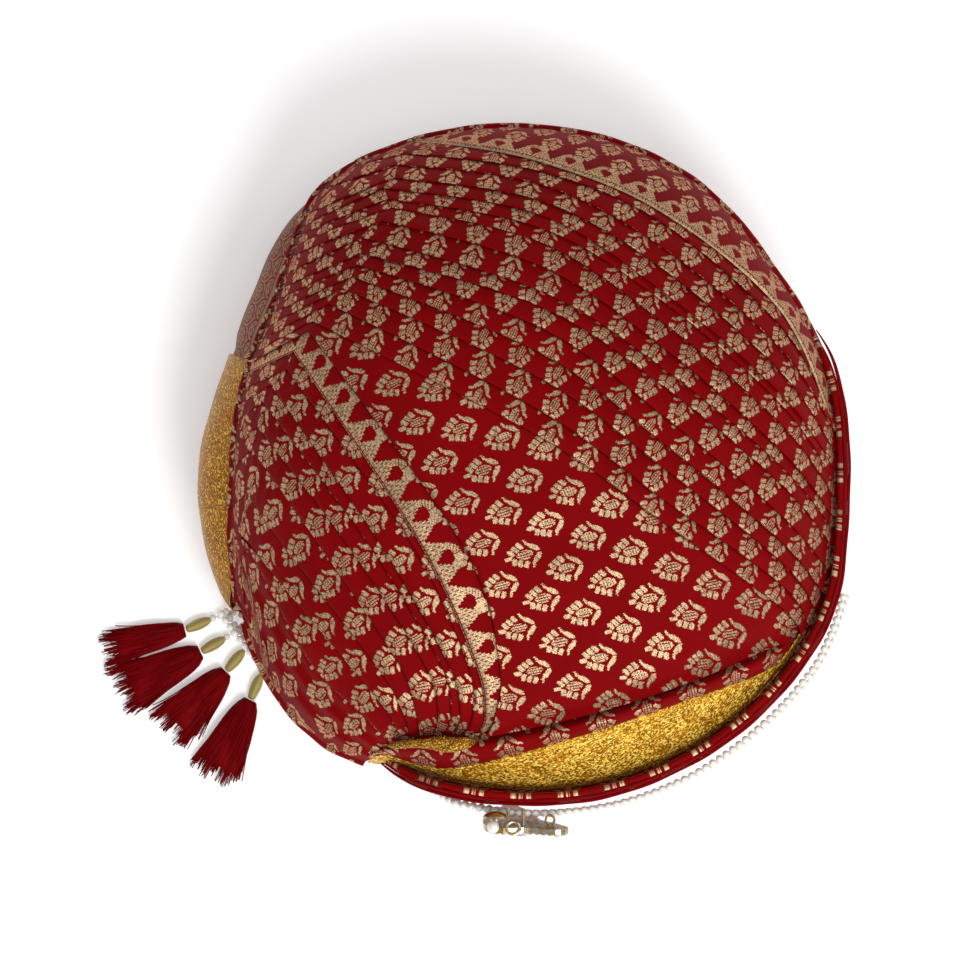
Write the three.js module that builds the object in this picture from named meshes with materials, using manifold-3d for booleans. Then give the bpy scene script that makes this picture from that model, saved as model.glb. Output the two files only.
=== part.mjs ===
// A ready-made groom's pagri: a flared wall of wound brocade round the head opening, a crown of
// pleated cloth over it, a gold tissue front, two pearl strings, a brooch and four tassels.
// Millimetres, +Z up. It stands on Z = 0 with its front towards -Y.
// Plan positions are worked out from the middle of the head opening, and the whole is moved at
// the end so that the origin is the middle of the bounding box's base.
import * as THREE from "three";
import { mergeVertices } from "three/addons/utils/BufferGeometryUtils.js";
import Module from "manifold-3d";

// Cloth and gaps
const CLOTH = 2.0;
const TISSUE = 1.4;
const GAP = 0.4;
const FOLD_RISE = 1.5;
const FOLD_TUCK = 0.2;

// Head opening, half its width and half its depth
const OPENING_X = 80;
const OPENING_Y = 98;

// Crown
const CROWN_TOP = 150;
const DOME_POWER = 2.4;
const DOME_EASE = 0.65;
const VALLEY_DEPTH = 4.5;
const VALLEY_WIDTH = 6;

// Wall
const BULGE_SHARE = 0.8;
const FLARE_POWER = 0.7;
const WRAP_STANDS = 1.4;

// Pearl strings
const PEARL = 3.4;

// Tassels
const BEAD_LENGTH = 12;
const BEAD_WIDTH = 5.2;
const SKIRT_NECK = 6;
const SKIRT_HEIGHT = 7.6;

// One row for each section round the turban, by its azimuth from +X in degrees: the crown's edge
// (radius and height), the wall's widest place (radius and height) and the wall's top edge.
const SECTIONS = [
  { azimuth: 0, domeR: 135.5, domeZ: 94, bulgeR: 138.5, bulgeZ: 91, topR: 138.5, topZ: 99 },
  { azimuth: 20, domeR: 138, domeZ: 90, bulgeR: 140.5, bulgeZ: 85, topR: 140.2, topZ: 91 },
  { azimuth: 32, domeR: 138.8, domeZ: 86.5, bulgeR: 140.3, bulgeZ: 79, topR: 136.5, topZ: 83.5 },
  { azimuth: 40, domeR: 139.5, domeZ: 83, bulgeR: 140, bulgeZ: 76, topR: 135.5, topZ: 82 },
  { azimuth: 60, domeR: 146, domeZ: 76, bulgeR: 142, bulgeZ: 68, topR: 139, topZ: 82 },
  { azimuth: 90, domeR: 149, domeZ: 70, bulgeR: 145, bulgeZ: 60, topR: 141, topZ: 78 },
  { azimuth: 110, domeR: 150.5, domeZ: 68, bulgeR: 146, bulgeZ: 57, topR: 141, topZ: 76 },
  { azimuth: 126, domeR: 150, domeZ: 68, bulgeR: 147, bulgeZ: 54, topR: 141, topZ: 67 },
  { azimuth: 135, domeR: 140, domeZ: 73, bulgeR: 145, bulgeZ: 53, topR: 136, topZ: 68 },
  { azimuth: 146, domeR: 129.5, domeZ: 79, bulgeR: 138, bulgeZ: 53, topR: 126.5, topZ: 76 },
  { azimuth: 160, domeR: 126.5, domeZ: 81, bulgeR: 134.5, bulgeZ: 54, topR: 123.5, topZ: 78.5 },
  { azimuth: 180, domeR: 125.5, domeZ: 81, bulgeR: 138.5, bulgeZ: 56, topR: 122.5, topZ: 78.5 },
  { azimuth: 194, domeR: 130, domeZ: 79, bulgeR: 140, bulgeZ: 58, topR: 127, topZ: 76.5 },
  { azimuth: 206, domeR: 137, domeZ: 77, bulgeR: 139.4, bulgeZ: 60, topR: 133.5, topZ: 74.5 },
  { azimuth: 218, domeR: 143, domeZ: 79, bulgeR: 136.5, bulgeZ: 68, topR: 133, topZ: 85 },
  { azimuth: 233, domeR: 147.5, domeZ: 86, bulgeR: 138, bulgeZ: 80, topR: 136, topZ: 94 },
  { azimuth: 242, domeR: 144.5, domeZ: 95, bulgeR: 139.5, bulgeZ: 91, topR: 138.5, topZ: 99 },
  { azimuth: 248, domeR: 138.4, domeZ: 102, bulgeR: 141, bulgeZ: 101, topR: 141, topZ: 106 },
  { azimuth: 255, domeR: 138.2, domeZ: 105, bulgeR: 141.5, bulgeZ: 106, topR: 141.5, topZ: 115 },
  { azimuth: 270, domeR: 139, domeZ: 106, bulgeR: 142, bulgeZ: 108, topR: 142, topZ: 116 },
  { azimuth: 290, domeR: 140.5, domeZ: 105, bulgeR: 143.5, bulgeZ: 107, topR: 143.5, topZ: 115 },
  { azimuth: 310, domeR: 141.5, domeZ: 103, bulgeR: 144.5, bulgeZ: 105, topR: 144.5, topZ: 112 },
  { azimuth: 326, domeR: 141.5, domeZ: 101, bulgeR: 145.5, bulgeZ: 102, topR: 145.5, topZ: 109 },
  { azimuth: 337, domeR: 141, domeZ: 98, bulgeR: 144.5, bulgeZ: 98, topR: 144.5, topZ: 106 },
  { azimuth: 350, domeR: 136.5, domeZ: 95, bulgeR: 140, bulgeZ: 93, topR: 140, topZ: 101 },
];

// One row for each fold of the back set, from the outermost down: where it leaves the crown's left
// edge, where it bends, its Y at three places across the crown, and its Y at the right edge.
const BACK_STATIONS = [8, 59, 111];
const BACK_FOLDS = [
  { leftY: 143, bendX: -33, bendY: 141, near: 132, middle: 110.5, far: 68.4, endY: 16 },
  { leftY: 133, bendX: -51, bendY: 137, near: 127.7, middle: 106, far: 61.5, endY: 23 },
  { leftY: 122, bendX: -54, bendY: 131.5, near: 121.7, middle: 95, far: 51.2, endY: 16 },
  { leftY: 110.5, bendX: -55, bendY: 125.5, near: 114.4, middle: 85.6, far: 41, endY: 7.5 },
  { leftY: 105, bendX: -60, bendY: 121, near: 108, middle: 75.7, far: 31.4, endY: -0.5 },
  { leftY: 101, bendX: -58, bendY: 116, near: 102.3, middle: 71.4, far: 27, endY: -6 },
  { leftY: 97, bendX: -56, bendY: 112, near: 96, middle: 62.4, far: 18.5, endY: -12 },
  { leftY: 92, bendX: -60, bendY: 106, near: 85.6, middle: 51.6, far: 7, endY: -21 },
  { leftY: 84, bendX: -69, bendY: 99, near: 74.8, middle: 42.6, far: 0.5, endY: -26 },
  { leftY: 78, bendX: -69, bendY: 92, near: 68, middle: 35, far: -7.3, endY: -33 },
  { leftY: 73, bendX: -71, bendY: 87, near: 59, middle: 22.4, far: -20.6, endY: -44 },
  { leftY: 67, bendX: -73, bendY: 82, near: 48.2, middle: 10.8, far: -31.8, endY: -54 },
  { leftY: 61, bendX: -77, bendY: 77, near: 37.4, middle: 0.4, far: -40.4, endY: -61.5 },
  { leftY: 55, bendX: -83, bendY: 70.5, near: 23.7, middle: -13, far: -50, endY: -68 },
  { leftY: 50, bendX: -90, bendY: 63, near: 12.5, middle: -22.8, far: -59.8, endY: -73 },
];

// One row for each fold of the front set, from the open field outwards: where it leaves the left
// edge, where it bends, its X at three places on its way down, and where it meets the gold loop.
const FRONT_STATIONS = [-31, -83, -105];
const FRONT_FOLDS = [
  { leftY: 46, bendX: -91.5, bendY: 59, near: -26.2, middle: -8.6, far: -9.6, endX: -13.5, endY: -113 },
  { leftY: 41, bendX: -98, bendY: 50, near: -43.9, middle: -19.8, far: -15.6, endX: -18, endY: -113 },
  { leftY: 34, bendX: -101, bendY: 42.5, near: -47.6, middle: -23.2, far: -20.8, endX: -24, endY: -113.5 },
  { leftY: 28, bendX: -108, bendY: 36, near: -61, middle: -31.4, far: -26, endX: -28.5, endY: -114 },
  { leftY: 21, bendX: -111.5, bendY: 28.5, near: -66.2, middle: -34.8, far: -30, endX: -33, endY: -114.5 },
  { leftY: 11, bendX: -114, bendY: 18, near: -75.3, middle: -41.7, far: -35.5, endX: -37.5, endY: -114.5 },
  { leftY: 0.5, bendX: -116.5, bendY: 8.5, near: -87.7, middle: -52.5, far: -45, endX: -43.5, endY: -115 },
  { leftY: -17, bendX: -119, bendY: -10, near: -104, middle: -62.8, far: -50.5, endX: -48, endY: -116 },
  { leftY: -36, bendX: -121, bendY: -30, near: -119.5, middle: -74.8, far: -57, endX: -51.5, endY: -118 },
  { leftY: -56, bendX: -121.5, bendY: -55, near: -121, middle: -91, far: -69, endX: -54.5, endY: -120 },
];

// The crown's front hem, one row for each place from the left of the loop to the right edge: the
// dark valley behind the roll and the roll's lower edge.
const HEM = [
  { valleyX: -56, valleyY: -122.4, lowerX: -58, lowerY: -125 },
  { valleyX: -50.5, valleyY: -118.8, lowerX: -51.6, lowerY: -126.3 },
  { valleyX: -42, valleyY: -117, lowerX: -43.4, lowerY: -128.3 },
  { valleyX: -30, valleyY: -116, lowerX: -32.7, lowerY: -129.4 },
  { valleyX: -13, valleyY: -116, lowerX: -14, lowerY: -126 },
  { valleyX: 33, valleyY: -105.5, lowerX: 28, lowerY: -114 },
  { valleyX: 76, valleyY: -91.5, lowerX: 70, lowerY: -100 },
  { valleyX: 104, valleyY: -80, lowerX: 103, lowerY: -88.5 },
  { valleyX: 116.5, valleyY: -74.5, lowerX: 115, lowerY: -79.5 },
];

// One row for each tassel: the azimuth at which its string leaves the pearl strings, where its bead
// begins on the surface, the azimuths along which the bead and the skirt lie, and the skirt's size.
const TASSELS = [
  { leaves: 206.8, beadX: -140.1, beadY: -68.3, beadLies: 203, skirtLies: 194, length: 37, width: 15.5 },
  { leaves: 209.7, beadX: -133.7, beadY: -76.9, beadLies: 210, skirtLies: 206, length: 41, width: 24 },
  { leaves: 213, beadX: -125.1, beadY: -82.3, beadLies: 230, skirtLies: 226, length: 38, width: 22 },
  { leaves: 217.6, beadX: -117.4, beadY: -93.2, beadLies: 248, skirtLies: 243, length: 39, width: 23 },
];

// One row for each place along the pearl strings, from the right end to the left: how far the upper
// string's middle stands off the wall and its height, and how far outside and below it the lower lies.
const STRINGS = [
  { azimuth: -22, standoff: 7.6, z: 93.5, out: 3.3, drop: 3.2 },
  { azimuth: -34, standoff: 8.1, z: 100.5, out: 3.2, drop: 3.2 },
  { azimuth: -60, standoff: 7.8, z: 106, out: 2.4, drop: 3.6 },
  { azimuth: -76, standoff: 7.4, z: 108.2, out: 1.4, drop: 3.9 },
  { azimuth: -90, standoff: 6.8, z: 109.6, out: 1, drop: 4.1 },
  { azimuth: -101, standoff: 6.2, z: 107, out: 0.6, drop: 4.5 },
  { azimuth: -108, standoff: 5.2, z: 94, out: 0.5, drop: 5.3 },
  { azimuth: -117, standoff: 4.6, z: 79, out: 0.4, drop: 5.4 },
  { azimuth: -127, standoff: 4.6, z: 70, out: 0.2, drop: 4.8 },
  { azimuth: -137, standoff: 5.2, z: 65.5, out: 0, drop: 4.6 },
  { azimuth: -142, standoff: 9.2, z: 64.5, out: 0.4, drop: 4.3 },
  { azimuth: -147, standoff: 8.4, z: 62, out: 0.8, drop: 4.1 },
  { azimuth: -150, standoff: 7.8, z: 61, out: 0.8, drop: 4.1 },
  { azimuth: -154, standoff: 7.6, z: 60, out: 0.8, drop: 4.1 },
];

// Surface colours
const CLOTHS = {
  brocade: { color: 0x93101c, roughness: 0.75, metalness: 0.0 },
  zari: { color: 0xa47f52, roughness: 0.55, metalness: 0.2 },
  tissue: { color: 0xc8941c, roughness: 0.38, metalness: 0.6 },
  pearl: { color: 0xe8e2d2, roughness: 0.25, metalness: 0.0 },
  silver: { color: 0xc9c5ba, roughness: 0.25, metalness: 0.9 },
  thread: { color: 0xb9a050, roughness: 0.6, metalness: 0.1 },
  silk: { color: 0x7a0510, roughness: 0.6, metalness: 0.0 },
};

const pagri = new THREE.Group();
const degrees = (value) => (value * Math.PI) / 180;
const clamp = (value, low, high) => Math.min(high, Math.max(low, value));

function addPiece(name, geometry, cloth) {
  const mesh = new THREE.Mesh(geometry, new THREE.MeshStandardMaterial(CLOTHS[cloth]));
  mesh.name = name;
  pagri.add(mesh);
  return mesh;
}

// Smooth value of one column of SECTIONS at an azimuth, by a periodic cubic.
function section(azimuth, column) {
  const a = ((azimuth % 360) + 360) % 360;
  const count = SECTIONS.length;
  let i = count - 1;
  while (SECTIONS[i].azimuth > a) i -= 1;
  const row = (k) => SECTIONS[((k % count) + count) % count];
  const at = (k) => row(k).azimuth + 360 * Math.floor(k / count);
  const slope = (k) => (row(k + 1)[column] - row(k - 1)[column]) / (at(k + 1) - at(k - 1));
  const span = at(i + 1) - at(i);
  const t = (a - at(i)) / span;
  const t2 = t * t;
  const t3 = t2 * t;
  return (
    (2 * t3 - 3 * t2 + 1) * row(i)[column] +
    (t3 - 2 * t2 + t) * span * slope(i) +
    (3 * t2 - 2 * t3) * row(i + 1)[column] +
    (t3 - t2) * span * slope(i + 1)
  );
}

const azimuthOf = (x, y) => (Math.atan2(y, x) * 180) / Math.PI;
const plan = (azimuth, radius) =>
  new THREE.Vector2(radius * Math.cos(degrees(azimuth)), radius * Math.sin(degrees(azimuth)));

// Height of the crown's plain dome over a plan point.
function domeHeight(x, y) {
  const azimuth = azimuthOf(x, y);
  const edge = section(azimuth, "domeZ");
  const share = Math.min(1, Math.hypot(x, y) / section(azimuth, "domeR"));
  return edge + (CROWN_TOP - edge) * Math.pow(1 - Math.pow(share, DOME_POWER), DOME_EASE);
}

// The point of the crown's edge at a given Y, on the left or the right side.
function edgeAtY(y, side) {
  let azimuth = side > 0 ? 0 : 180;
  for (let k = 0; k < 40; k += 1) {
    const radius = section(azimuth, "domeR");
    const angle = (Math.asin(clamp(y / radius, -1, 1)) * 180) / Math.PI;
    azimuth = side > 0 ? angle : 180 - angle;
  }
  return plan(azimuth, section(azimuth, "domeR"));
}

// The wall's outer surface: share 0 is the foot, BULGE_SHARE the widest place and 1 the top edge.
// A point can stand off it, straight out up to the widest place and square to the cloth above that.
function wallPoint(azimuth, share, stands = 0) {
  const c = Math.cos(degrees(azimuth)) / OPENING_X;
  const s = Math.sin(degrees(azimuth)) / OPENING_Y;
  const foot = 1 / Math.hypot(c, s) + CLOTH;
  const bulgeR = section(azimuth, "bulgeR");
  const bulgeZ = section(azimuth, "bulgeZ");
  if (share <= BULGE_SHARE) {
    const t = Math.max(0, share / BULGE_SHARE);
    return { r: foot + (bulgeR - foot) * Math.pow(t, FLARE_POWER) + stands, z: bulgeZ * t };
  }
  const t = (share - BULGE_SHARE) / (1 - BULGE_SHARE);
  const inward = section(azimuth, "topR") - bulgeR;
  const upward = section(azimuth, "topZ") - bulgeZ;
  const lean = Math.hypot(2 * inward * t, upward);
  return {
    r: bulgeR + inward * t * t + (stands * upward) / lean,
    z: bulgeZ + upward * t - (stands * 2 * inward * t) / lean,
  };
}

// A closed body from rings of points that all have the same count. Each ring is a loop; the body
// closes on itself round the turban, or ends in two flat caps.
function loftBody(rings, closed) {
  const positions = rings.flat().flatMap((p) => [p.x, p.y, p.z]);
  const size = rings[0].length;
  const index = [];
  const spans = closed ? rings.length : rings.length - 1;
  for (let i = 0; i < spans; i += 1) {
    const a = i * size;
    const b = ((i + 1) % rings.length) * size;
    for (let k = 0; k < size; k += 1) {
      const n = (k + 1) % size;
      index.push(a + k, b + k, b + n, a + k, b + n, a + n);
    }
  }
  if (!closed) {
    const last = (rings.length - 1) * size;
    for (let k = 1; k < size - 1; k += 1) {
      index.push(0, k, k + 1);
      index.push(last, last + k + 1, last + k);
    }
  }
  const geometry = new THREE.BufferGeometry();
  geometry.setAttribute("position", new THREE.Float32BufferAttribute(positions, 3));
  geometry.setIndex(index);
  return facingOut(geometry);
}

// Turns the faces round if the body is inside out.
function facingOut(geometry) {
  const p = geometry.getAttribute("position");
  const index = geometry.getIndex().array;
  const [a, b, c] = [new THREE.Vector3(), new THREE.Vector3(), new THREE.Vector3()];
  let volume = 0;
  for (let i = 0; i < index.length; i += 3) {
    a.fromBufferAttribute(p, index[i]);
    b.fromBufferAttribute(p, index[i + 1]);
    c.fromBufferAttribute(p, index[i + 2]);
    volume += a.dot(b.cross(c));
  }
  if (volume < 0) {
    const turned = [];
    for (let i = 0; i < index.length; i += 3) turned.push(index[i], index[i + 2], index[i + 1]);
    geometry.setIndex(turned);
  }
  geometry.computeVertexNormals();
  return geometry;
}

// A cloth shell over the dome, from its lines in plan. Each line is a row of points and gives its
// height above the dome on either side of it (low towards the line before, high towards the line
// after). The underside follows the dome.
function clothShell(lines, thickness) {
  const top = [];
  const bottom = [];
  for (const line of lines) {
    for (const rise of line.rises) {
      top.push(line.points.map((p, i) => lifted(p, rise(i))));
    }
    bottom.push(line.points.map((p) => lifted(p, -thickness)));
  }
  const across = lines[0].points.length;
  const positions = [...top.flat(), ...bottom.flat()].flatMap((p) => [p.x, p.y, p.z]);
  const below = top.length * across;
  const index = [];
  const quad = (a, b, c, d) => index.push(a, b, c, a, c, d);
  for (let i = 0; i + 1 < top.length; i += 1) {
    for (let k = 0; k + 1 < across; k += 1) {
      const a = i * across + k;
      quad(a, a + 1, a + across + 1, a + across);
    }
  }
  for (let i = 0; i + 1 < bottom.length; i += 1) {
    for (let k = 0; k + 1 < across; k += 1) {
      const a = below + i * across + k;
      quad(a, a + across, a + across + 1, a + 1);
    }
  }
  // The two long sides
  const lastTop = (top.length - 1) * across;
  const lastBottom = below + (bottom.length - 1) * across;
  for (let k = 0; k + 1 < across; k += 1) {
    quad(k, below + k, below + k + 1, k + 1);
    quad(lastTop + k, lastTop + k + 1, lastBottom + k + 1, lastBottom + k);
  }
  // The two ends, where one or two rows of the top stand over each row of the underside
  for (const k of [0, across - 1]) {
    const order = k === 0 ? (a, b, c) => index.push(a, b, c) : (a, b, c) => index.push(a, c, b);
    let row = 0;
    for (let i = 0; i < lines.length; i += 1) {
      const foot = below + i * across + k;
      for (let n = 1; n < lines[i].rises.length; n += 1) {
        order(row * across + k, (row + 1) * across + k, foot);
        row += 1;
      }
      if (i + 1 < lines.length) {
        order(row * across + k, (row + 1) * across + k, foot);
        order((row + 1) * across + k, foot + across, foot);
        row += 1;
      }
    }
  }
  const geometry = new THREE.BufferGeometry();
  geometry.setAttribute("position", new THREE.Float32BufferAttribute(positions, 3));
  geometry.setIndex(index);
  return facingOut(geometry);
}

const lifted = (p, rise) => new THREE.Vector3(p.x, p.y, domeHeight(p.x, p.y) + rise);

// Points along a fold: a few up to its bend, and the rest after it.
const LEG_STEPS = 4;
const RUN_STEPS = 16;
const RUN_EASE = 1.3;
const eased = (step) => 1 - Math.pow(1 - step / RUN_STEPS, RUN_EASE);
function foldPoints(stops) {
  const leg = new THREE.LineCurve(stops[0], stops[1]);
  const run = new THREE.SplineCurve(stops.slice(1));
  const points = [];
  for (let i = 0; i < LEG_STEPS; i += 1) points.push(leg.getPoint(i / LEG_STEPS));
  for (let i = 0; i <= RUN_STEPS; i += 1) points.push(run.getPointAt(eased(i)));
  return points;
}

const inset = (point, amount) => point.clone().multiplyScalar(1 - amount / point.length());

function backFold(row) {
  const across = [row.near, row.middle, row.far];
  return foldPoints([
    inset(edgeAtY(row.leftY, -1), GAP),
    new THREE.Vector2(row.bendX, row.bendY),
    ...BACK_STATIONS.map((x, i) => new THREE.Vector2(x, across[i])),
    inset(edgeAtY(row.endY, 1), GAP),
  ]);
}

function frontFold(row) {
  const down = [row.near, row.middle, row.far];
  return foldPoints([
    inset(edgeAtY(row.leftY, -1), GAP),
    new THREE.Vector2(row.bendX, row.bendY),
    ...FRONT_STATIONS.map((y, i) => new THREE.Vector2(down[i], y)),
    new THREE.Vector2(row.endX, row.endY),
  ]);
}

// A line of points moved square to itself, to the side on which another line of as many points lies.
function movedTowards(points, others, amount) {
  const last = points.length - 1;
  const squares = points.map((p, i) => {
    const along = points[Math.min(i + 1, last)].clone().sub(points[Math.max(i - 1, 0)]);
    return new THREE.Vector2(-along.y, along.x).normalize();
  });
  const towards = squares.reduce((sum, n, i) => sum + n.dot(others[i].clone().sub(points[i])), 0);
  return points.map((p, i) => p.clone().addScaledVector(squares[i], Math.sign(towards) * amount));
}

const between = (from, to, share) => from.map((p, i) => p.clone().lerp(to[i], share));

// The crown

const backLines = BACK_FOLDS.map(backFold);
const frontLines = FRONT_FOLDS.map(frontFold);
const firstBack = backLines[0];
const lastBack = backLines[backLines.length - 1];
const hemCurve = (x, y) => new THREE.SplineCurve(HEM.map((row) => new THREE.Vector2(row[x], row[y])));

// The cloth dips into the valley behind the hem, which lies at the end of each front fold.
const dip = (points) => (i) => {
  const away = points[i].distanceTo(points[points.length - 1]);
  return -VALLEY_DEPTH * Math.exp(-((away / VALLEY_WIDTH) ** 2));
};
const flat = (rise) => () => rise;
const dipped = (rise, points) => (i) => rise + dip(points)(i);

// The band outside the first back fold: the azimuths of its outline, and its rise from the fold
// (share 0) to the outline (share 1).
const BAND_FROM = 103;
const BAND_TO = 7.4;
const BAND_PROFILE = [
  { share: 0, rise: 2 },
  { share: 0.3, rise: 1.5 },
  { share: 0.6, rise: 0.9 },
  { share: 0.87, rise: 0.6 },
  { share: 1, rise: 0 },
];
function outerBand() {
  const fold = firstBack.slice(LEG_STEPS);
  const outline = fold.map((p, i) => {
    const azimuth = BAND_FROM + (BAND_TO - BAND_FROM) * eased(i);
    return plan(azimuth, section(azimuth, "domeR") - GAP);
  });
  const inner = movedTowards(fold, outline, 1.5 * GAP);
  const lines = BAND_PROFILE.map(({ share, rise }) => ({
    points: between(inner, outline, share),
    rises: [flat(rise)],
  }));
  return clothShell(lines, CLOTH);
}

function backPleats() {
  const lines = backLines.map((points, i) => {
    if (i === 0) {
      return { points: movedTowards(points, backLines[1], GAP / 2), rises: [flat(FOLD_TUCK)] };
    }
    if (i === backLines.length - 1) {
      const moved = movedTowards(points, backLines[i - 1], GAP / 2);
      return { points: moved, rises: [flat(FOLD_RISE)] };
    }
    return { points, rises: [flat(FOLD_RISE), flat(FOLD_TUCK)] };
  });
  return clothShell(lines, CLOTH);
}

// The open panel's lines turn, over their last part, to end along the valley behind the hem.
const PANEL_ROWS = 7;
const PANEL_TURN = 0.4;
const VALLEY_EDGE = 1;
const LOOP_END_X = -20;
function plainPanel() {
  const upper = movedTowards(lastBack, frontLines[0], GAP / 2);
  const left = movedTowards(frontLines[0], lastBack, GAP / 2);
  const last = upper.length - 1;
  const middle = HEM.slice(0, -1).filter((row) => row.valleyX > LOOP_END_X);
  const ends = new THREE.SplineCurve([
    upper[last],
    ...middle.reverse().map((row) => new THREE.Vector2(row.valleyX, row.valleyY + VALLEY_EDGE)),
    left[last],
  ]);
  const lines = [];
  for (let i = 0; i <= PANEL_ROWS; i += 1) {
    const share = i / PANEL_ROWS;
    const points = between(upper, left, share);
    const move = ends.getPointAt(share).sub(points[last]);
    points.forEach((p, k) => {
      const turn = THREE.MathUtils.smoothstep(k / last, 1 - PANEL_TURN, 1);
      p.addScaledVector(move, turn);
    });
    lines.push({ points, rises: [dipped(FOLD_TUCK + (FOLD_RISE - FOLD_TUCK) * share, points)] });
  }
  return clothShell(lines, CLOTH);
}

// Beyond the last front fold the cloth runs on to the crown's outline between two azimuths.
const CORNER_FROM = 209;
const CORNER_TO = 242;
const CORNER_SHARES = [0.5, 0.85];
function frontPleats() {
  const outline = frontLines[0].map((p, i) => {
    const share = i / (frontLines[0].length - 1);
    const azimuth = CORNER_FROM + (CORNER_TO - CORNER_FROM) * share;
    return plan(azimuth, section(azimuth, "domeR") - GAP);
  });
  const lines = frontLines.map((points, i) => {
    if (i === 0) {
      const moved = movedTowards(points, frontLines[1], GAP / 2);
      return { points: moved, rises: [dipped(FOLD_TUCK, moved)] };
    }
    return { points, rises: [dipped(FOLD_RISE, points), dipped(FOLD_TUCK, points)] };
  });
  const last = frontLines[frontLines.length - 1];
  for (const share of CORNER_SHARES) {
    lines.push({ points: between(last, outline, share), rises: [flat(FOLD_TUCK)] });
  }
  lines.push({ points: outline, rises: [flat(0)] });
  return clothShell(lines, CLOTH);
}

// Across the hem's roll: the share of the way from the valley to the lower edge, and the rise.
const HEM_STEPS = 26;
const HEM_PROFILE = [
  { share: 0.08, rise: -1 },
  { share: 0.35, rise: 1.5 },
  { share: 0.7, rise: 1.5 },
  { share: 1, rise: -0.4 },
];
function hemRoll() {
  const valley = hemCurve("valleyX", "valleyY");
  const lower = hemCurve("lowerX", "lowerY");
  const points = (share) => {
    const row = [];
    for (let i = 0; i <= HEM_STEPS; i += 1) {
      const u = i / HEM_STEPS;
      row.push(valley.getPoint(u).lerp(lower.getPoint(u), share));
    }
    return row;
  };
  const lines = HEM_PROFILE.map(({ share, rise }) => ({ points: points(share), rises: [flat(rise)] }));
  return clothShell(lines, CLOTH);
}

// The gold tissue lies between the hem's lower edge and the valley behind the rim.
const TISSUE_FROM = 251;
const TISSUE_TO = 328;
const TISSUE_STEPS = 30;
const TISSUE_SHARES = [0, 0.4, 0.75, 1];
const TISSUE_SINKS = 0.6;
function frontTissue() {
  const lower = hemCurve("lowerX", "lowerY").getPoints(120);
  const hemRadius = (azimuth) => {
    let best = lower[0];
    for (const p of lower) {
      const away = Math.abs(((azimuthOf(p.x, p.y) - azimuth + 540) % 360) - 180);
      const bestAway = Math.abs(((azimuthOf(best.x, best.y) - azimuth + 540) % 360) - 180);
      if (away < bestAway) best = p;
    }
    return best.length();
  };
  const points = (share) => {
    const row = [];
    for (let i = 0; i <= TISSUE_STEPS; i += 1) {
      const azimuth = TISSUE_FROM + ((TISSUE_TO - TISSUE_FROM) * i) / TISSUE_STEPS;
      const inner = hemRadius(azimuth) + 2 * GAP;
      const outer = Math.max(inner + GAP, section(azimuth, "domeR") - 2 * GAP);
      row.push(plan(azimuth, inner + (outer - inner) * share));
    }
    return row;
  };
  const lines = TISSUE_SHARES.map((share) => ({ points: points(share), rises: [flat(-TISSUE_SINKS)] }));
  return clothShell(lines, TISSUE + TISSUE_SINKS);
}

addPiece("crown_outer_band", outerBand(), "brocade");
addPiece("crown_back_pleats", backPleats(), "brocade");
addPiece("crown_plain_panel", plainPanel(), "brocade");
addPiece("crown_front_pleats", frontPleats(), "brocade");
addPiece("crown_hem_roll", hemRoll(), "brocade");
addPiece("front_tissue", frontTissue(), "tissue");

// The wall

// A band of the wall through some shares of its height, over a stretch of azimuths. It stands off
// the wall by one amount at its low edge and another at its high edge.
function wallBand({ from, to, steps, shares, stands, thickness }) {
  const closed = to - from >= 360;
  const low = shares[0];
  const reach = shares[shares.length - 1] - low;
  const rings = [];
  const count = closed ? steps : steps + 1;
  for (let i = 0; i < count; i += 1) {
    const azimuth = from + ((to - from) * i) / steps;
    const face = (behind) =>
      shares.map((share) => {
        const off = stands[0] + ((stands[1] - stands[0]) * (share - low)) / reach - behind;
        const at = wallPoint(azimuth, share, off);
        const p = plan(azimuth, at.r);
        return new THREE.Vector3(p.x, p.y, at.z);
      });
    rings.push([...face(0), ...face(thickness).reverse()]);
  }
  return loftBody(rings, closed);
}

const WRAP_STEPS = 60;
const JOINT = 0.005;
const WRAPS = [
  { name: "wall_wrap_1", shares: [0, 0.13, 0.26], stands: [0, WRAP_STANDS] },
  { name: "wall_wrap_2", shares: [0.26 + JOINT, 0.39, 0.52], stands: [0, WRAP_STANDS] },
  { name: "wall_wrap_3", shares: [0.52 + JOINT, 0.63, 0.74], stands: [0, WRAP_STANDS] },
  { name: "wall_wrap_4", shares: [0.74 + JOINT, BULGE_SHARE, 0.9, 1], stands: [0, 0] },
];
for (const wrap of WRAPS) {
  const shape = { from: 0, to: 360, steps: WRAP_STEPS, thickness: CLOTH };
  addPiece(wrap.name, wallBand({ ...shape, ...wrap }), "brocade");
}

// The folds that stand round the rim and the bands at the left, all over the wall's top wrap.
const SIDE_SHARES = [0.58, 0.8, 0.9, 0.985];
const OVERLAYS = [
  { name: "rim_fold_inner", cloth: "brocade", from: -109, to: 22, shares: [0.8, 0.9, 1], off: 2 },
  { name: "rim_fold_outer", cloth: "brocade", from: -109, to: 25, shares: [0.8, 0.88, 0.95], off: 4 },
  { name: "side_band_gold", cloth: "tissue", from: 158, to: 209, shares: SIDE_SHARES, off: 3.9 },
  { name: "side_band_brocade", cloth: "zari", from: 127, to: 157.4, shares: SIDE_SHARES, off: 3.9 },
];
const OVERLAY_CLOTH = 1.5;
const OVERLAY_STEP = 4;
for (const { name, cloth, from, to, shares, off } of OVERLAYS) {
  const steps = Math.round((to - from) / OVERLAY_STEP);
  const shape = { from, to, steps, shares, stands: [off, off], thickness: OVERLAY_CLOTH };
  addPiece(name, wallBand(shape), cloth);
}

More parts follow.
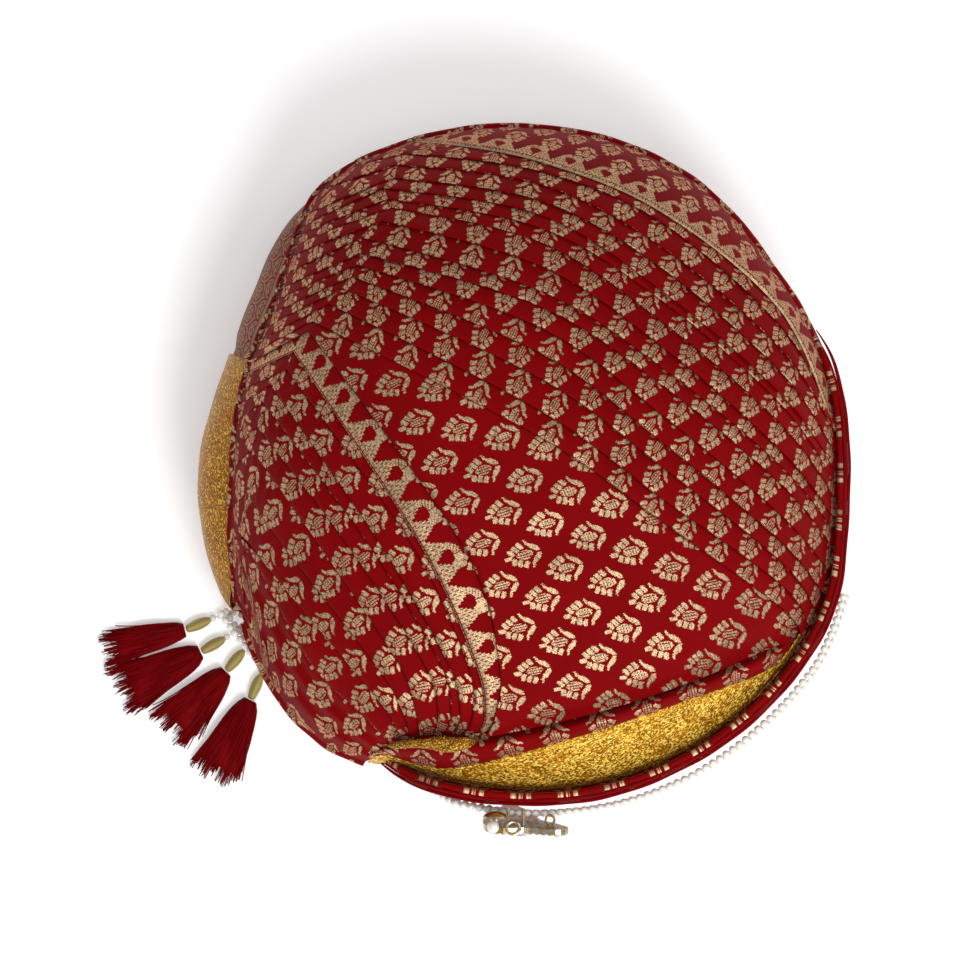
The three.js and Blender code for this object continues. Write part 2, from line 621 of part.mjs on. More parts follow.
// A round bar along a path.
function tube(points, diameter, sides, steps) {
  const outline = new THREE.Shape();
  for (let i = 0; i < sides; i += 1) {
    const angle = (2 * Math.PI * i) / sides;
    const x = (diameter / 2) * Math.cos(angle);
    const y = (diameter / 2) * Math.sin(angle);
    if (i === 0) outline.moveTo(x, y);
    else outline.lineTo(x, y);
  }
  outline.closePath();
  const extrudePath = new THREE.CatmullRomCurve3(points, false, "centripetal");
  return new THREE.ExtrudeGeometry(outline, { steps, extrudePath, bevelEnabled: false });
}

// One body from several that run into each other.
const solids = await Module();
solids.setup();
function joined(geometries) {
  const parts = geometries.map((geometry) => {
    const bare = new THREE.BufferGeometry();
    const source = geometry.index ? geometry.toNonIndexed() : geometry;
    bare.setAttribute("position", source.getAttribute("position"));
    const merged = mergeVertices(bare, 1e-3);
    return new solids.Manifold(
      new solids.Mesh({
        numProp: 3,
        vertProperties: new Float32Array(merged.getAttribute("position").array),
        triVerts: new Uint32Array(merged.getIndex().array),
      }),
    );
  });
  const mesh = solids.Manifold.union(parts).getMesh();
  const geometry = new THREE.BufferGeometry();
  geometry.setAttribute("position", new THREE.BufferAttribute(mesh.vertProperties, 3));
  geometry.setIndex(new THREE.BufferAttribute(mesh.triVerts, 1));
  return geometry;
}

// The gold loop

const LOOP_WIDTH = 4.6;
const LOOP = [
  { x: -57.6, y: -119.5, above: 0.1 },
  { x: -48, y: -119.4, above: 1.5 },
  { x: -39, y: -118.8, above: 1.9 },
  { x: -30, y: -118.3, above: 1.5 },
  { x: -20.6, y: -117.8, above: 0.1 },
];
const loopPoints = LOOP.map((row) => lifted(row, row.above + LOOP_WIDTH / 2));
addPiece("gold_loop", tube(loopPoints, LOOP_WIDTH, 10, 8), "tissue");

// The pearl strings

const PEARL_SIDES = 8;
const STRING_STEPS = 48;
function stringPoint(row, upper) {
  const z = row.z - (upper ? 0 : row.drop);
  const share = Math.min(BULGE_SHARE, (BULGE_SHARE * z) / section(row.azimuth, "bulgeZ"));
  const wall = wallPoint(row.azimuth, share).r;
  const p = plan(row.azimuth, wall + row.standoff + (upper ? 0 : row.out));
  return new THREE.Vector3(p.x, p.y, z);
}

// The rows of STRINGS, with three more between each two of them.
function stringRows() {
  const rows = [];
  const columns = Object.keys(STRINGS[0]);
  for (let i = 0; i + 1 < STRINGS.length; i += 1) {
    for (let share = 0; share < 1; share += 0.25) {
      const row = {};
      for (const c of columns) row[c] = STRINGS[i][c] * (1 - share) + STRINGS[i + 1][c] * share;
      rows.push(row);
    }
  }
  return [...rows, STRINGS[STRINGS.length - 1]];
}
const upperString = stringRows().map((row) => stringPoint(row, true));
const lowerString = stringRows().map((row) => stringPoint(row, false));
addPiece("pearl_strand_upper", tube(upperString, PEARL, PEARL_SIDES, STRING_STEPS), "pearl");
addPiece("pearl_strand_lower", tube(lowerString, PEARL, PEARL_SIDES, STRING_STEPS), "pearl");

// The tassels, each of a string, a thread-wound bead and a skirt, lying on the surface

const HANG_STEPS = 16;
const SKIRT_STEPS = 6;
const SKIRT_SIDES = 12;
const SKIRT_SQUARE = 0.7;
const SKIRT_FLARE = 0.8;
const STRING_END_GAP = 2.6 * GAP;
const SKIRT_GAP = 2 * GAP;

function tasselString(row, direction) {
  const from = new THREE.CatmullRomCurve3(lowerString).getPoints(200);
  let top = from[0];
  for (const p of from) {
    const away = Math.abs(azimuthOf(p.x, p.y) + 360 - row.leaves);
    if (away < Math.abs(azimuthOf(top.x, top.y) + 360 - row.leaves)) top = p;
  }
  const lies = PEARL / 2 + 0.2;
  const end = new THREE.Vector3(row.beadX, row.beadY, lies).addScaledVector(direction, -STRING_END_GAP);
  const at = (share, z) => new THREE.Vector3(top.x, top.y, 0).lerp(end, share).setZ(z);
  return [
    at(0, top.z - PEARL / 2 - 1.5 * GAP),
    at(0, top.z / 2),
    at(0, 4 * PEARL),
    at(0.12, 2 * PEARL),
    at(0.5, PEARL),
    end,
  ];
}

function tasselBead() {
  const half = BEAD_LENGTH / 2;
  const profile = [
    [0, -half],
    [1.6, -half],
    [BEAD_WIDTH * 0.42, -half * 0.65],
    [BEAD_WIDTH / 2, -half * 0.2],
    [BEAD_WIDTH / 2, half * 0.25],
    [BEAD_WIDTH * 0.4, half * 0.75],
    [1.8, half],
    [0, half],
  ];
  return new THREE.LatheGeometry(profile.map(([r, h]) => new THREE.Vector2(r, h)), SKIRT_SIDES);
}

// The skirt's sections are flattened rounds that rest on the surface and widen towards its end.
function tasselSkirt(row) {
  const rings = [];
  for (let i = 0; i <= SKIRT_STEPS; i += 1) {
    const t = i / SKIRT_STEPS;
    const width = SKIRT_NECK + (row.width - SKIRT_NECK) * Math.pow(t, SKIRT_FLARE);
    const height = SKIRT_NECK + (SKIRT_HEIGHT - SKIRT_NECK) * Math.sin(Math.PI * t);
    const ring = [];
    for (let k = 0; k < SKIRT_SIDES; k += 1) {
      const angle = (2 * Math.PI * k) / SKIRT_SIDES;
      const squared = (value) => Math.sign(value) * Math.pow(Math.abs(value), SKIRT_SQUARE);
      const across = (width / 2) * squared(Math.cos(angle));
      const up = (height / 2) * (1 + squared(Math.sin(angle)));
      ring.push(new THREE.Vector3(row.length * t, across, up));
    }
    rings.push(ring);
  }
  return loftBody(rings, false);
}

TASSELS.forEach((row, i) => {
  const beadWay = plan(row.beadLies, 1);
  const direction = new THREE.Vector3(beadWay.x, beadWay.y, 0);
  const start = new THREE.Vector3(row.beadX, row.beadY, 0);
  const name = (part) => `tassel_${part}_${i + 1}`;
  addPiece(name("string"), tube(tasselString(row, direction), PEARL, PEARL_SIDES, HANG_STEPS), "pearl");

  const bead = tasselBead();
  bead.rotateZ(degrees(row.beadLies - 90));
  const middle = start.clone().addScaledVector(direction, BEAD_LENGTH / 2);
  bead.translate(middle.x, middle.y, BEAD_WIDTH / 2);
  addPiece(name("bead"), bead, "thread");

  const skirt = tasselSkirt(row);
  skirt.rotateZ(degrees(row.skirtLies));
  const neck = start.clone().addScaledVector(direction, BEAD_LENGTH + SKIRT_GAP);
  skirt.translate(neck.x, neck.y, 0);
  addPiece(name("skirt"), skirt, "silk");
});

// The brooch: an upright plate with a domed boss behind it, a coil ring on its top edge, an eye at
// its back and two prongs that reach the rim

const PLATE = 2.4;
const PLATE_LEAN = 12;
const PLATE_AT = { y: -152.8, z: 106 };
const PLATE_OUTLINE = [
  { x: -17, z: 2 },
  { x: -16, z: 9.5 },
  { x: -11, z: 13.5 },
  { x: -5, z: 14.5 },
  { x: 1, z: 13.5 },
  { x: 9, z: 15.5 },
  { x: 16, z: 17 },
  { x: 20, z: 13.5 },
  { x: 15, z: 7 },
  { x: 8, z: 1 },
  { x: 5, z: -9 },
  { x: 0, z: -18 },
  { x: -6, z: -27 },
  { x: -9, z: -20 },
  { x: -13, z: -9 },
];
const BOSS = { x: -11.5, y: -150.6, z: 118.4, radius: 5.6, depth: 3.2, rim: 0.4 };
const BOSS_STEM = { radius: 2, length: 4.6 };
const BOSS_STEPS = 5;
const COIL = { x: -3.9, y: -154.6, z: 119.8, radius: 2.75, wire: 0.8 };
const EYE = { x: 12, y: -151.4, z: 115.5, radius: 1.9, wire: 0.6 };
const PRONGS = { xs: [-6, 0.4], from: -146.4, to: -154.4, z: 115.4, wire: 0.7 };
const BROOCH_PEARL = { x: -12.5, y: -154, z: 123.6, radius: 2.6 };

function broochPlate() {
  const outline = PLATE_OUTLINE.map((row) => new THREE.Vector2(row.x, row.z));
  const curve = new THREE.SplineCurve([...outline, outline[0]]);
  const shape = new THREE.Shape(curve.getPoints(42).slice(0, -1));
  const plate = new THREE.ExtrudeGeometry(shape, { depth: PLATE, bevelEnabled: false });
  plate.translate(0, 0, -PLATE / 2);
  plate.rotateX(degrees(90 + PLATE_LEAN));
  plate.translate(0, PLATE_AT.y, PLATE_AT.z);

  const dome = [];
  for (let i = 0; i <= BOSS_STEPS; i += 1) {
    const angle = (Math.PI / 2) * (i / BOSS_STEPS);
    dome.push(new THREE.Vector2(BOSS.radius * Math.sin(angle), BOSS.depth * Math.cos(angle)));
  }
  dome.push(new THREE.Vector2(BOSS_STEM.radius, -BOSS.rim));
  dome.push(new THREE.Vector2(BOSS_STEM.radius, -BOSS_STEM.length));
  dome.push(new THREE.Vector2(0, -BOSS_STEM.length));
  const boss = new THREE.LatheGeometry(dome.reverse(), 16);
  boss.translate(BOSS.x, BOSS.y, BOSS.z);

  const coil = new THREE.TorusGeometry(COIL.radius, COIL.wire, 8, 16);
  coil.translate(COIL.x, COIL.y, COIL.z);
  const eye = new THREE.TorusGeometry(EYE.radius, EYE.wire, 8, 12);
  eye.translate(EYE.x, EYE.y, EYE.z);
  const prongs = PRONGS.xs.map((x) => {
    const length = PRONGS.from - PRONGS.to;
    const prong = new THREE.CylinderGeometry(PRONGS.wire, PRONGS.wire, length, 8);
    return prong.translate(x, (PRONGS.from + PRONGS.to) / 2, PRONGS.z);
  });
  return joined([plate, boss, coil, eye, ...prongs]);
}
addPiece("brooch_plate", broochPlate(), "silver");
const broochPearl = new THREE.SphereGeometry(BROOCH_PEARL.radius, 16, 12);
broochPearl.translate(BROOCH_PEARL.x, BROOCH_PEARL.y, BROOCH_PEARL.z);
addPiece("brooch_pearl", broochPearl, "pearl");

// Measures the build, so that the origin is the middle of the bounding box's base.
const box = new THREE.Box3().setFromObject(pagri);
const middle = box.getCenter(new THREE.Vector3());
pagri.position.set(-middle.x, -middle.y, -box.min.z);

export default pagri;
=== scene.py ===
"""The looks of a ready-made groom's pagri: a crown of lapped brocade pleats over a wound wall, a
gold tissue front, pearl strings, a brooch and four tassels. Plan sizes are in millimetres from the
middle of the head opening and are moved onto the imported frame, where Blender's metres begin."""
import math
from collections import namedtuple

import bpy
import numpy as np
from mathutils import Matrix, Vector


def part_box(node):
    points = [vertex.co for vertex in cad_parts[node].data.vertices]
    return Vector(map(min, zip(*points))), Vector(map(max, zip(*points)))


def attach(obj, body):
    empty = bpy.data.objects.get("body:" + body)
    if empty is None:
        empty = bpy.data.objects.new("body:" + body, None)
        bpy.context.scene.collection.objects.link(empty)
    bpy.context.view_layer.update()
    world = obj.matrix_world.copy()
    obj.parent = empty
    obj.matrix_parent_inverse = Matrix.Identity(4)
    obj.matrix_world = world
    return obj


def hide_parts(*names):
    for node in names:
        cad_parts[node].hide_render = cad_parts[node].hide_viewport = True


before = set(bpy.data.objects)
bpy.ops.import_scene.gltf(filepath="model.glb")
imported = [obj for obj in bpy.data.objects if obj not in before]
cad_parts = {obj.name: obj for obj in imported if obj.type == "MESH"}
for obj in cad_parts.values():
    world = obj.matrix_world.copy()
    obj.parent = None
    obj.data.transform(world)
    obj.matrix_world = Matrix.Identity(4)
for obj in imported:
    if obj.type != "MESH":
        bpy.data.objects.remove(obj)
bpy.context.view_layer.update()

bl_info = {
    "name": "Tied turban pagri",
    "version": (1, 0, 0),
    "blender": (4, 5, 0),
    "location": "View3D > Sidebar > Pagri",
    "description": "Builds a pleated brocade pagri with its tissue front, pearls, brooch and tassels",
    "category": "Object",
}

MM = 0.001
SEED = 7


def rows(kind, table):
    """A table's rows, each with its columns' names."""
    return [kind(*row) for row in table]


def lengths_along(points):
    """How far along a line of points each one lies."""
    steps = np.linalg.norm(np.diff(points, axis=0), axis=1)
    return np.concatenate([[0], np.cumsum(steps)])


# The crown and the wall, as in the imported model

OPENING = (80, 98)
CLOTH = 2.0
CROWN_TOP = 150
DOME_POWER = 2.4
DOME_EASE = 0.65
VALLEY_DEPTH = 4.5
VALLEY_WIDTH = 6
BULGE_SHARE = 0.8
FLARE_POWER = 0.7

Section = namedtuple("Section", "azimuth dome_r dome_z bulge_r bulge_z top_r top_z")
SECTIONS = rows(Section, [
    (0, 135.5, 94, 138.5, 91, 138.5, 99), (20, 138, 90, 140.5, 85, 140.2, 91),
    (32, 138.8, 86.5, 140.3, 79, 136.5, 83.5), (40, 139.5, 83, 140, 76, 135.5, 82),
    (60, 146, 76, 142, 68, 139, 82), (90, 149, 70, 145, 60, 141, 78),
    (110, 150.5, 68, 146, 57, 141, 76), (126, 150, 68, 147, 54, 141, 67),
    (135, 140, 73, 145, 53, 136, 68), (146, 129.5, 79, 138, 53, 126.5, 76),
    (160, 126.5, 81, 134.5, 54, 123.5, 78.5), (180, 125.5, 81, 138.5, 56, 122.5, 78.5),
    (194, 130, 79, 140, 58, 127, 76.5), (206, 137, 77, 139.4, 60, 133.5, 74.5),
    (218, 143, 79, 136.5, 68, 133, 85), (233, 147.5, 86, 138, 80, 136, 94),
    (242, 144.5, 95, 139.5, 91, 138.5, 99), (248, 138.4, 102, 141, 101, 141, 106),
    (255, 138.2, 105, 141.5, 106, 141.5, 115), (270, 139, 106, 142, 108, 142, 116),
    (290, 140.5, 105, 143.5, 107, 143.5, 115), (310, 141.5, 103, 144.5, 105, 144.5, 112),
    (326, 141.5, 101, 145.5, 102, 145.5, 109), (337, 141, 98, 144.5, 98, 144.5, 106),
    (350, 136.5, 95, 140, 93, 140, 101),
])

# Folds of the back set: Y at the left edge, the bend, Y at three stations across, Y at the right edge
BACK_STATIONS = (8, 59, 111)
BackFold = namedtuple("BackFold", "left_y bend_x bend_y near middle far end_y")
BACK_FOLDS = rows(BackFold, [
    (143, -33, 141, 132, 110.5, 68.4, 16), (133, -51, 137, 127.7, 106, 61.5, 23),
    (122, -54, 131.5, 121.7, 95, 51.2, 16), (110.5, -55, 125.5, 114.4, 85.6, 41, 7.5),
    (105, -60, 121, 108, 75.7, 31.4, -0.5), (101, -58, 116, 102.3, 71.4, 27, -6),
    (97, -56, 112, 96, 62.4, 18.5, -12), (92, -60, 106, 85.6, 51.6, 7, -21),
    (84, -69, 99, 74.8, 42.6, 0.5, -26), (78, -69, 92, 68, 35, -7.3, -33),
    (73, -71, 87, 59, 22.4, -20.6, -44), (67, -73, 82, 48.2, 10.8, -31.8, -54),
    (61, -77, 77, 37.4, 0.4, -40.4, -61.5), (55, -83, 70.5, 23.7, -13, -50, -68),
    (50, -90, 63, 12.5, -22.8, -59.8, -73),
])

# Folds of the front set: Y at the left edge, the bend, X at three stations down, the gathered end
FRONT_STATIONS = (-31, -83, -105)
FrontFold = namedtuple("FrontFold", "left_y bend_x bend_y near middle far end_x end_y")
FRONT_FOLDS = rows(FrontFold, [
    (46, -91.5, 59, -26.2, -8.6, -9.6, -13.5, -113), (41, -98, 50, -43.9, -19.8, -15.6, -18, -113),
    (34, -101, 42.5, -47.6, -23.2, -20.8, -24, -113.5), (28, -108, 36, -61, -31.4, -26, -28.5, -114),
    (21, -111.5, 28.5, -66.2, -34.8, -30, -33, -114.5),
    (11, -114, 18, -75.3, -41.7, -35.5, -37.5, -114.5),
    (0.5, -116.5, 8.5, -87.7, -52.5, -45, -43.5, -115), (-17, -119, -10, -104, -62.8, -50.5, -48, -116),
    (-36, -121, -30, -119.5, -74.8, -57, -51.5, -118), (-56, -121.5, -55, -121, -91, -69, -54.5, -120),
])

# The front hem: the valley behind the roll and the roll's lower edge, from the loop to the right
Hem = namedtuple("Hem", "valley_x valley_y lower_x lower_y")
HEM = rows(Hem, [
    (-66.5, -123.4, -67.8, -126), (-58, -120.5, -59.3, -123.8), (-50.5, -118.5, -51.6, -126.3),
    (-42, -117, -43.4, -128.3), (-30, -116, -32.7, -129.4), (-13, -116, -14, -126),
    (33, -105.5, 28, -114), (76, -91.5, 70, -100), (104, -80, 103, -88.5), (116.5, -74.5, 115, -79.5),
])

# Pearl strings: how far the upper one stands off the wall, its height, and where the lower one lies
String = namedtuple("String", "azimuth standoff z out drop")
STRINGS = rows(String, [
    (-22, 7.6, 93.5, 3.3, 3.2), (-34, 8.1, 100.5, 3.2, 3.2), (-60, 7.8, 106, 2.4, 3.6),
    (-76, 7.4, 108.2, 1.4, 3.9), (-90, 6.8, 109.6, 1, 4.1), (-101, 6.2, 107, 0.6, 4.5),
    (-108, 5.2, 94, 0.5, 5.3), (-117, 4.4, 79, 0.4, 5.4), (-127, 4.2, 70, 0.2, 4.8),
    (-137, 5, 65.5, 0, 4.6), (-142, 9.2, 64.5, 0.4, 4.3), (-147, 8.4, 62, 0.8, 4.1),
    (-150, 7.8, 61, 0.8, 4.1), (-154, 7.6, 60, 0.8, 4.1),
])

# Tassels: where each string leaves, where its bead begins on the surface, how bead and skirt lie
Tassel = namedtuple("Tassel", "leaves bead_x bead_y bead_lies skirt_lies length width")
TASSELS = rows(Tassel, [
    (206.8, -140.1, -68.3, 203, 194, 37, 15.5), (209.7, -133.7, -76.9, 210, 206, 41, 24),
    (213, -125.1, -82.3, 230, 226, 38, 22), (217.6, -117.4, -93.2, 248, 243, 39, 23),
])
BEAD_LENGTH = 12
BEAD_WIDTH = 5.2
SKIRT_NECK = 6
SKIRT_HEIGHT = 7.6

# The plan's (0, 0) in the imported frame, found from where the brooch's pearl lies in both
PEARL_IN_PLAN = (-12.5, -154)
PEARL_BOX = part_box("brooch_pearl")
SHIFT = np.array([(a + b) / 2 / MM - c for a, b, c in zip(*PEARL_BOX, PEARL_IN_PLAN)] + [0.0])


def metres(points):
    """Plan millimetres as the frame's metres."""
    return (np.asarray(points, float) + SHIFT) * MM


# Curves and surfaces

RING = np.arange(0, 360.5, 0.5)


def ring_table(column):
    """One column of SECTIONS round the turban, by a periodic cubic."""
    at = np.array([row.azimuth for row in SECTIONS], float)
    value = np.array([getattr(row, column) for row in SECTIONS], float)
    at = np.concatenate([at[-2:] - 360, at, at[:2] + 360])
    value = np.concatenate([value[-2:], value, value[:2]])
    slope = np.zeros(len(at))
    slope[1:-1] = (value[2:] - value[:-2]) / (at[2:] - at[:-2])
    i = np.clip(np.searchsorted(at, RING, side="right") - 1, 1, len(at) - 3)
    span = at[i + 1] - at[i]
    t = (RING - at[i]) / span
    return (
        (2 * t**3 - 3 * t**2 + 1) * value[i]
        + (t**3 - 2 * t**2 + t) * span * slope[i]
        + (3 * t**2 - 2 * t**3) * value[i + 1]
        + (t**3 - t**2) * span * slope[i + 1]
    )


RINGS = {column: ring_table(column) for column in Section._fields[1:]}


def section(azimuth, column):
    return np.interp(np.mod(azimuth, 360), RING, RINGS[column])


def plan(azimuth, radius):
    angle = np.radians(azimuth)
    return np.stack([radius * np.cos(angle), radius * np.sin(angle)], -1)


def azimuth_of(xy):
    return np.degrees(np.arctan2(xy[..., 1], xy[..., 0]))


def dome_height(xy):
    azimuth = azimuth_of(xy)
    edge = section(azimuth, "dome_z")
    share = np.minimum(1, np.hypot(xy[..., 0], xy[..., 1]) / section(azimuth, "dome_r"))
    return edge + (CROWN_TOP - edge) * (1 - share**DOME_POWER) ** DOME_EASE


EDGE_ROLL = 2.2
EDGE_TURN = 2.6


def on_dome(xy, rise):
    """Plan points on the crown, lifted by rise. Points past its edge roll down and under it."""
    azimuth = azimuth_of(xy)
    radius = np.hypot(xy[..., 0], xy[..., 1])
    edge_r = section(azimuth, "dome_r")
    turn = np.minimum(np.maximum(0, radius - edge_r) / EDGE_ROLL, EDGE_TURN)
    past = radius > edge_r
    r = np.where(past, edge_r + (EDGE_ROLL + rise) * np.sin(turn), radius)
    z = dome_height(xy) + np.where(past, (EDGE_ROLL + rise) * np.cos(turn) - EDGE_ROLL, rise)
    flat = plan(azimuth, r)
    return np.concatenate([flat, z[..., None]], -1)


def crown_outline(azimuth):
    """Plan points on the crown's outline."""
    outline = plan(azimuth, 1)
    return outline * section(azimuth_of(outline), "dome_r")[:, None]


def wall_point(azimuth, share, stands=0.0):
    """The wall's outer face as (radius, height), for share 0 at the foot to 1 at the top edge."""
    azimuth, share, stands = np.broadcast_arrays(azimuth, share, stands)
    angle = np.radians(azimuth)
    foot = 1 / np.hypot(np.cos(angle) / OPENING[0], np.sin(angle) / OPENING[1]) + CLOTH
    bulge_r, bulge_z = section(azimuth, "bulge_r"), section(azimuth, "bulge_z")
    low = np.clip(share / BULGE_SHARE, 0, 1)
    low_r = foot + (bulge_r - foot) * low**FLARE_POWER + stands
    low_z = bulge_z * low
    t = np.clip((share - BULGE_SHARE) / (1 - BULGE_SHARE), 0, None)
    inward, upward = section(azimuth, "top_r") - bulge_r, section(azimuth, "top_z") - bulge_z
    lean = np.hypot(2 * inward * t, upward)
    high_r = bulge_r + inward * t * t + stands * upward / lean
    high_z = bulge_z + upward * t - stands * 2 * inward * t / lean
    above = share > BULGE_SHARE
    return np.where(above, high_r, low_r), np.where(above, high_z, low_z)


def on_wall(azimuth, share, stands=0.0):
    radius, z = wall_point(azimuth, share, stands)
    flat = plan(np.broadcast_to(azimuth, radius.shape), radius)
    return np.concatenate([flat, z[..., None]], -1)


def spline(stops, count):
    """A smooth curve through the stops, as evenly spaced points."""
    stops = np.asarray(stops, float)
    padded = np.concatenate([stops[:1], stops, stops[-1:]])
    t = np.linspace(0, 1, 40, endpoint=False)[:, None]
    spans = []
    for i in range(len(stops) - 1):
        a, b, c, d = padded[i : i + 4]
        spans.append(
            b + 0.5 * (c - a) * t
            + (a - 2.5 * b + 2 * c - 0.5 * d) * t**2
            + (1.5 * (b - c) + 0.5 * (d - a)) * t**3
        )
    dense = np.concatenate([*spans, stops[-1:]])
    return evenly(dense, count)


def evenly(points, count):
    along = lengths_along(points)
    at = np.linspace(0, along[-1], count)
    return np.stack([np.interp(at, along, points[:, k]) for k in range(points.shape[1])], -1)


def edge_at_y(y, side):
    """The point of the crown's edge at a given Y, on the left (-1) or the right (+1)."""
    azimuth = 0.0 if side > 0 else 180.0
    for _ in range(40):
        angle = math.degrees(math.asin(np.clip(y / section(azimuth, "dome_r"), -1, 1)))
        azimuth = angle if side > 0 else 180 - angle
    return plan(azimuth, section(azimuth, "dome_r"))


def smooth(share):
    """A share of a way that sets off and arrives gently."""
    return share * share * (3 - 2 * share)


def around(sides):
    """Angles evenly round a circle."""
    return np.linspace(0, 2 * math.pi, sides, endpoint=False)


def ripple(xy, size, depth, seed):
    """A soft unevenness of cloth: the sum of a few waves of about one size."""
    chance = np.random.default_rng(seed)
    total = np.zeros(xy.shape[:-1])
    for _ in range(7):
        way = chance.uniform(0, 2 * math.pi)
        length = size * chance.uniform(0.6, 1.6)
        phase = chance.uniform(0, 2 * math.pi)
        along = xy[..., 0] * math.cos(way) + xy[..., 1] * math.sin(way)
        total += np.sin(along * 2 * math.pi / length + phase)
    return total * depth / 4


OPEN_CLOTH = 50.0


class Sheet:
    """Gathers patches of a piece, with each point's place in the flat cloth in millimetres."""

    def __init__(self):
        self.points, self.cloth, self.tuck, self.quads, self.count = [], [], [], [], 0

    def add(self, points, cloth, centre=(0, 0, 40), facing=None, tuck=None):
        """A grid of points. Its first rows (or all) are made to face away from the centre. tuck:
        how far each point lies from the fold above it, where there is one."""
        rows, across = points.shape[:2]
        index = np.arange(rows * across).reshape(rows, across) + self.count
        corners = [index[:-1, :-1], index[1:, :-1], index[1:, 1:], index[:-1, 1:]]
        quads = np.stack(corners, -1).reshape(-1, 4)
        flat = points.reshape(-1, 3)
        a, b, d = (flat[quads[:, k] - self.count] for k in (0, 1, 3))
        outward = np.cross(b - a, d - a) * (a - np.asarray(centre, float))
        if outward[: (facing or rows) * (across - 1)].sum() < 0:
            quads = quads[:, ::-1]
        self.points.append(flat)
        self.cloth.append(np.asarray(cloth, float).reshape(-1, 2))
        far = np.full(rows * across, OPEN_CLOTH)
        self.tuck.append(far if tuck is None else np.asarray(tuck, float).ravel())
        self.quads.append(quads)
        self.count += rows * across

    def build(self, name, material):
        points = metres(np.concatenate(self.points))
        quads = np.concatenate(self.quads)
        cloth = np.concatenate(self.cloth)
        tuck = np.concatenate(self.tuck)
        layers = {"cloth": cloth, "tuck": np.stack([tuck, 0 * tuck], -1)}
        return new_object(name, points, quads, material, layers)


def new_object(name, points, faces, material, layers=None):
    mesh = bpy.data.meshes.new(name)
    mesh.from_pydata(np.asarray(points).tolist(), [], [list(face) for face in faces])
    corner = np.zeros(len(mesh.loops), dtype=np.int32)
    mesh.loops.foreach_get("vertex_index", corner)
    for title, places in (layers or {}).items():
        mesh.uv_layers.new(name=title).data.foreach_set("uv", places[corner].ravel())
    mesh.polygons.foreach_set("use_smooth", [True] * len(mesh.polygons))
    mesh.materials.append(material)
    mesh.update()
    piece = bpy.data.objects.new(name, mesh)
    bpy.context.scene.collection.objects.link(piece)
    return piece


def seat(piece, slot, *nodes):
    """Hands a piece to the frame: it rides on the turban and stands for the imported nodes."""
    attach(piece, "root")
    if nodes:
        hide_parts(*nodes)
    return piece


# The crown's cloth

LEG = 14
RUN = 150
OVER_EDGE = np.array([5.6, 4.4, 3.2, 2.1, 1.0])
FIELD_FROM = 19.0
COLUMN_STEP = 14.0
BUTI_PITCH = 20.4

# Across one pleat: share of the way from the fold above to its own fold, how far past that line
# (or, at share 0, back under the fold above), and its rise in fold heights
Profile = namedtuple("Profile", "share past rise")
PLEAT = rows(Profile, [
    (0, 3.0, -0.35), (0, 1.0, 0.0), (0.06, 0, 0.14), (0.2, 0, 0.34), (0.38, 0, 0.58), (0.56, 0, 0.78),
    (0.74, 0, 0.93), (0.88, 0, 1.0), (0.96, 0, 0.98), (1, 0.15, 0.86), (1, 0.5, 0.62), (1, 0.42, 0.34),
    (1, -0.3, 0.14), (1, -1.8, 0.06),
])


# The part of it that turns round the fold itself
ROUND_FOLD = [row for row in PLEAT if row.share == 1]


def unit(vectors):
    return vectors / np.maximum(np.linalg.norm(vectors, axis=-1, keepdims=True), 1e-9)


def away_from(points, others):
    """Unit vectors square to a line of points, on the side away from another line."""
    along = unit(np.gradient(points, axis=0))
    square = np.stack([-along[:, 1], along[:, 0]], -1)
    return square * -np.sign(np.sum(square * (others - points)))


def fold_line(stops, over_right):
    """Plan points along a fold, over the crown's edge at its left end and, if asked, its right."""
    stops = np.asarray(stops, float)
    leg = np.linspace(stops[0], stops[1], LEG + 1)
    line = np.concatenate([leg[:-1], spline(stops[1:], RUN + 1)])
    line = np.concatenate([line[0] + unit(line[0]) * OVER_EDGE[:, None], line])
    if over_right:
        reach = OVER_EDGE[::-1, None]
        line = np.concatenate([line, line[-1] + unit(line[-1]) * reach])
    return line


BEND = len(OVER_EDGE) + LEG


def back_fold(row):
    across = zip(BACK_STATIONS, (row.near, row.middle, row.far))
    stops = [edge_at_y(row.left_y, -1), (row.bend_x, row.bend_y), *across, edge_at_y(row.end_y, 1)]
    return fold_line(stops, over_right=True)


def front_fold(row):
    down = zip((row.near, row.middle, row.far), FRONT_STATIONS)
    stops = [edge_at_y(row.left_y, -1), (row.bend_x, row.bend_y), *down, (row.end_x, row.end_y)]
    return fold_line(stops, over_right=False)


def dip(line):
    """How far the cloth dips into the valley behind the hem, which lies at the line's end."""
    away = np.linalg.norm(line - line[-1], axis=1)
    return -VALLEY_DEPTH * np.exp(-((away / VALLEY_WIDTH) ** 2))


def along_fold(points, line, away, first):
    """Cloth places of rows of plan points beside a folded edge: along it and square to it, both
    measured over the crown."""
    edge, places = on_dome(line, 0), on_dome(points, 0)
    tangent = unit(np.gradient(edge, axis=0))
    apart = places - edge
    forward = np.sum(apart * tangent, -1)
    square = np.linalg.norm(apart - forward[..., None] * tangent, axis=-1)
    side = np.sign(np.sum((points - line) * away, -1))
    return np.stack([lengths_along(edge) + forward, first - side * square], -1)


LAID_FLAT = 0.12


def laid_flat(fold):
    """Folds lie flat where they start at the crown's outline, and stand up over 30 mm."""
    share = np.clip(lengths_along(fold) / 30, 0, 1)
    return LAID_FLAT + (1 - LAID_FLAT) * smooth(share)


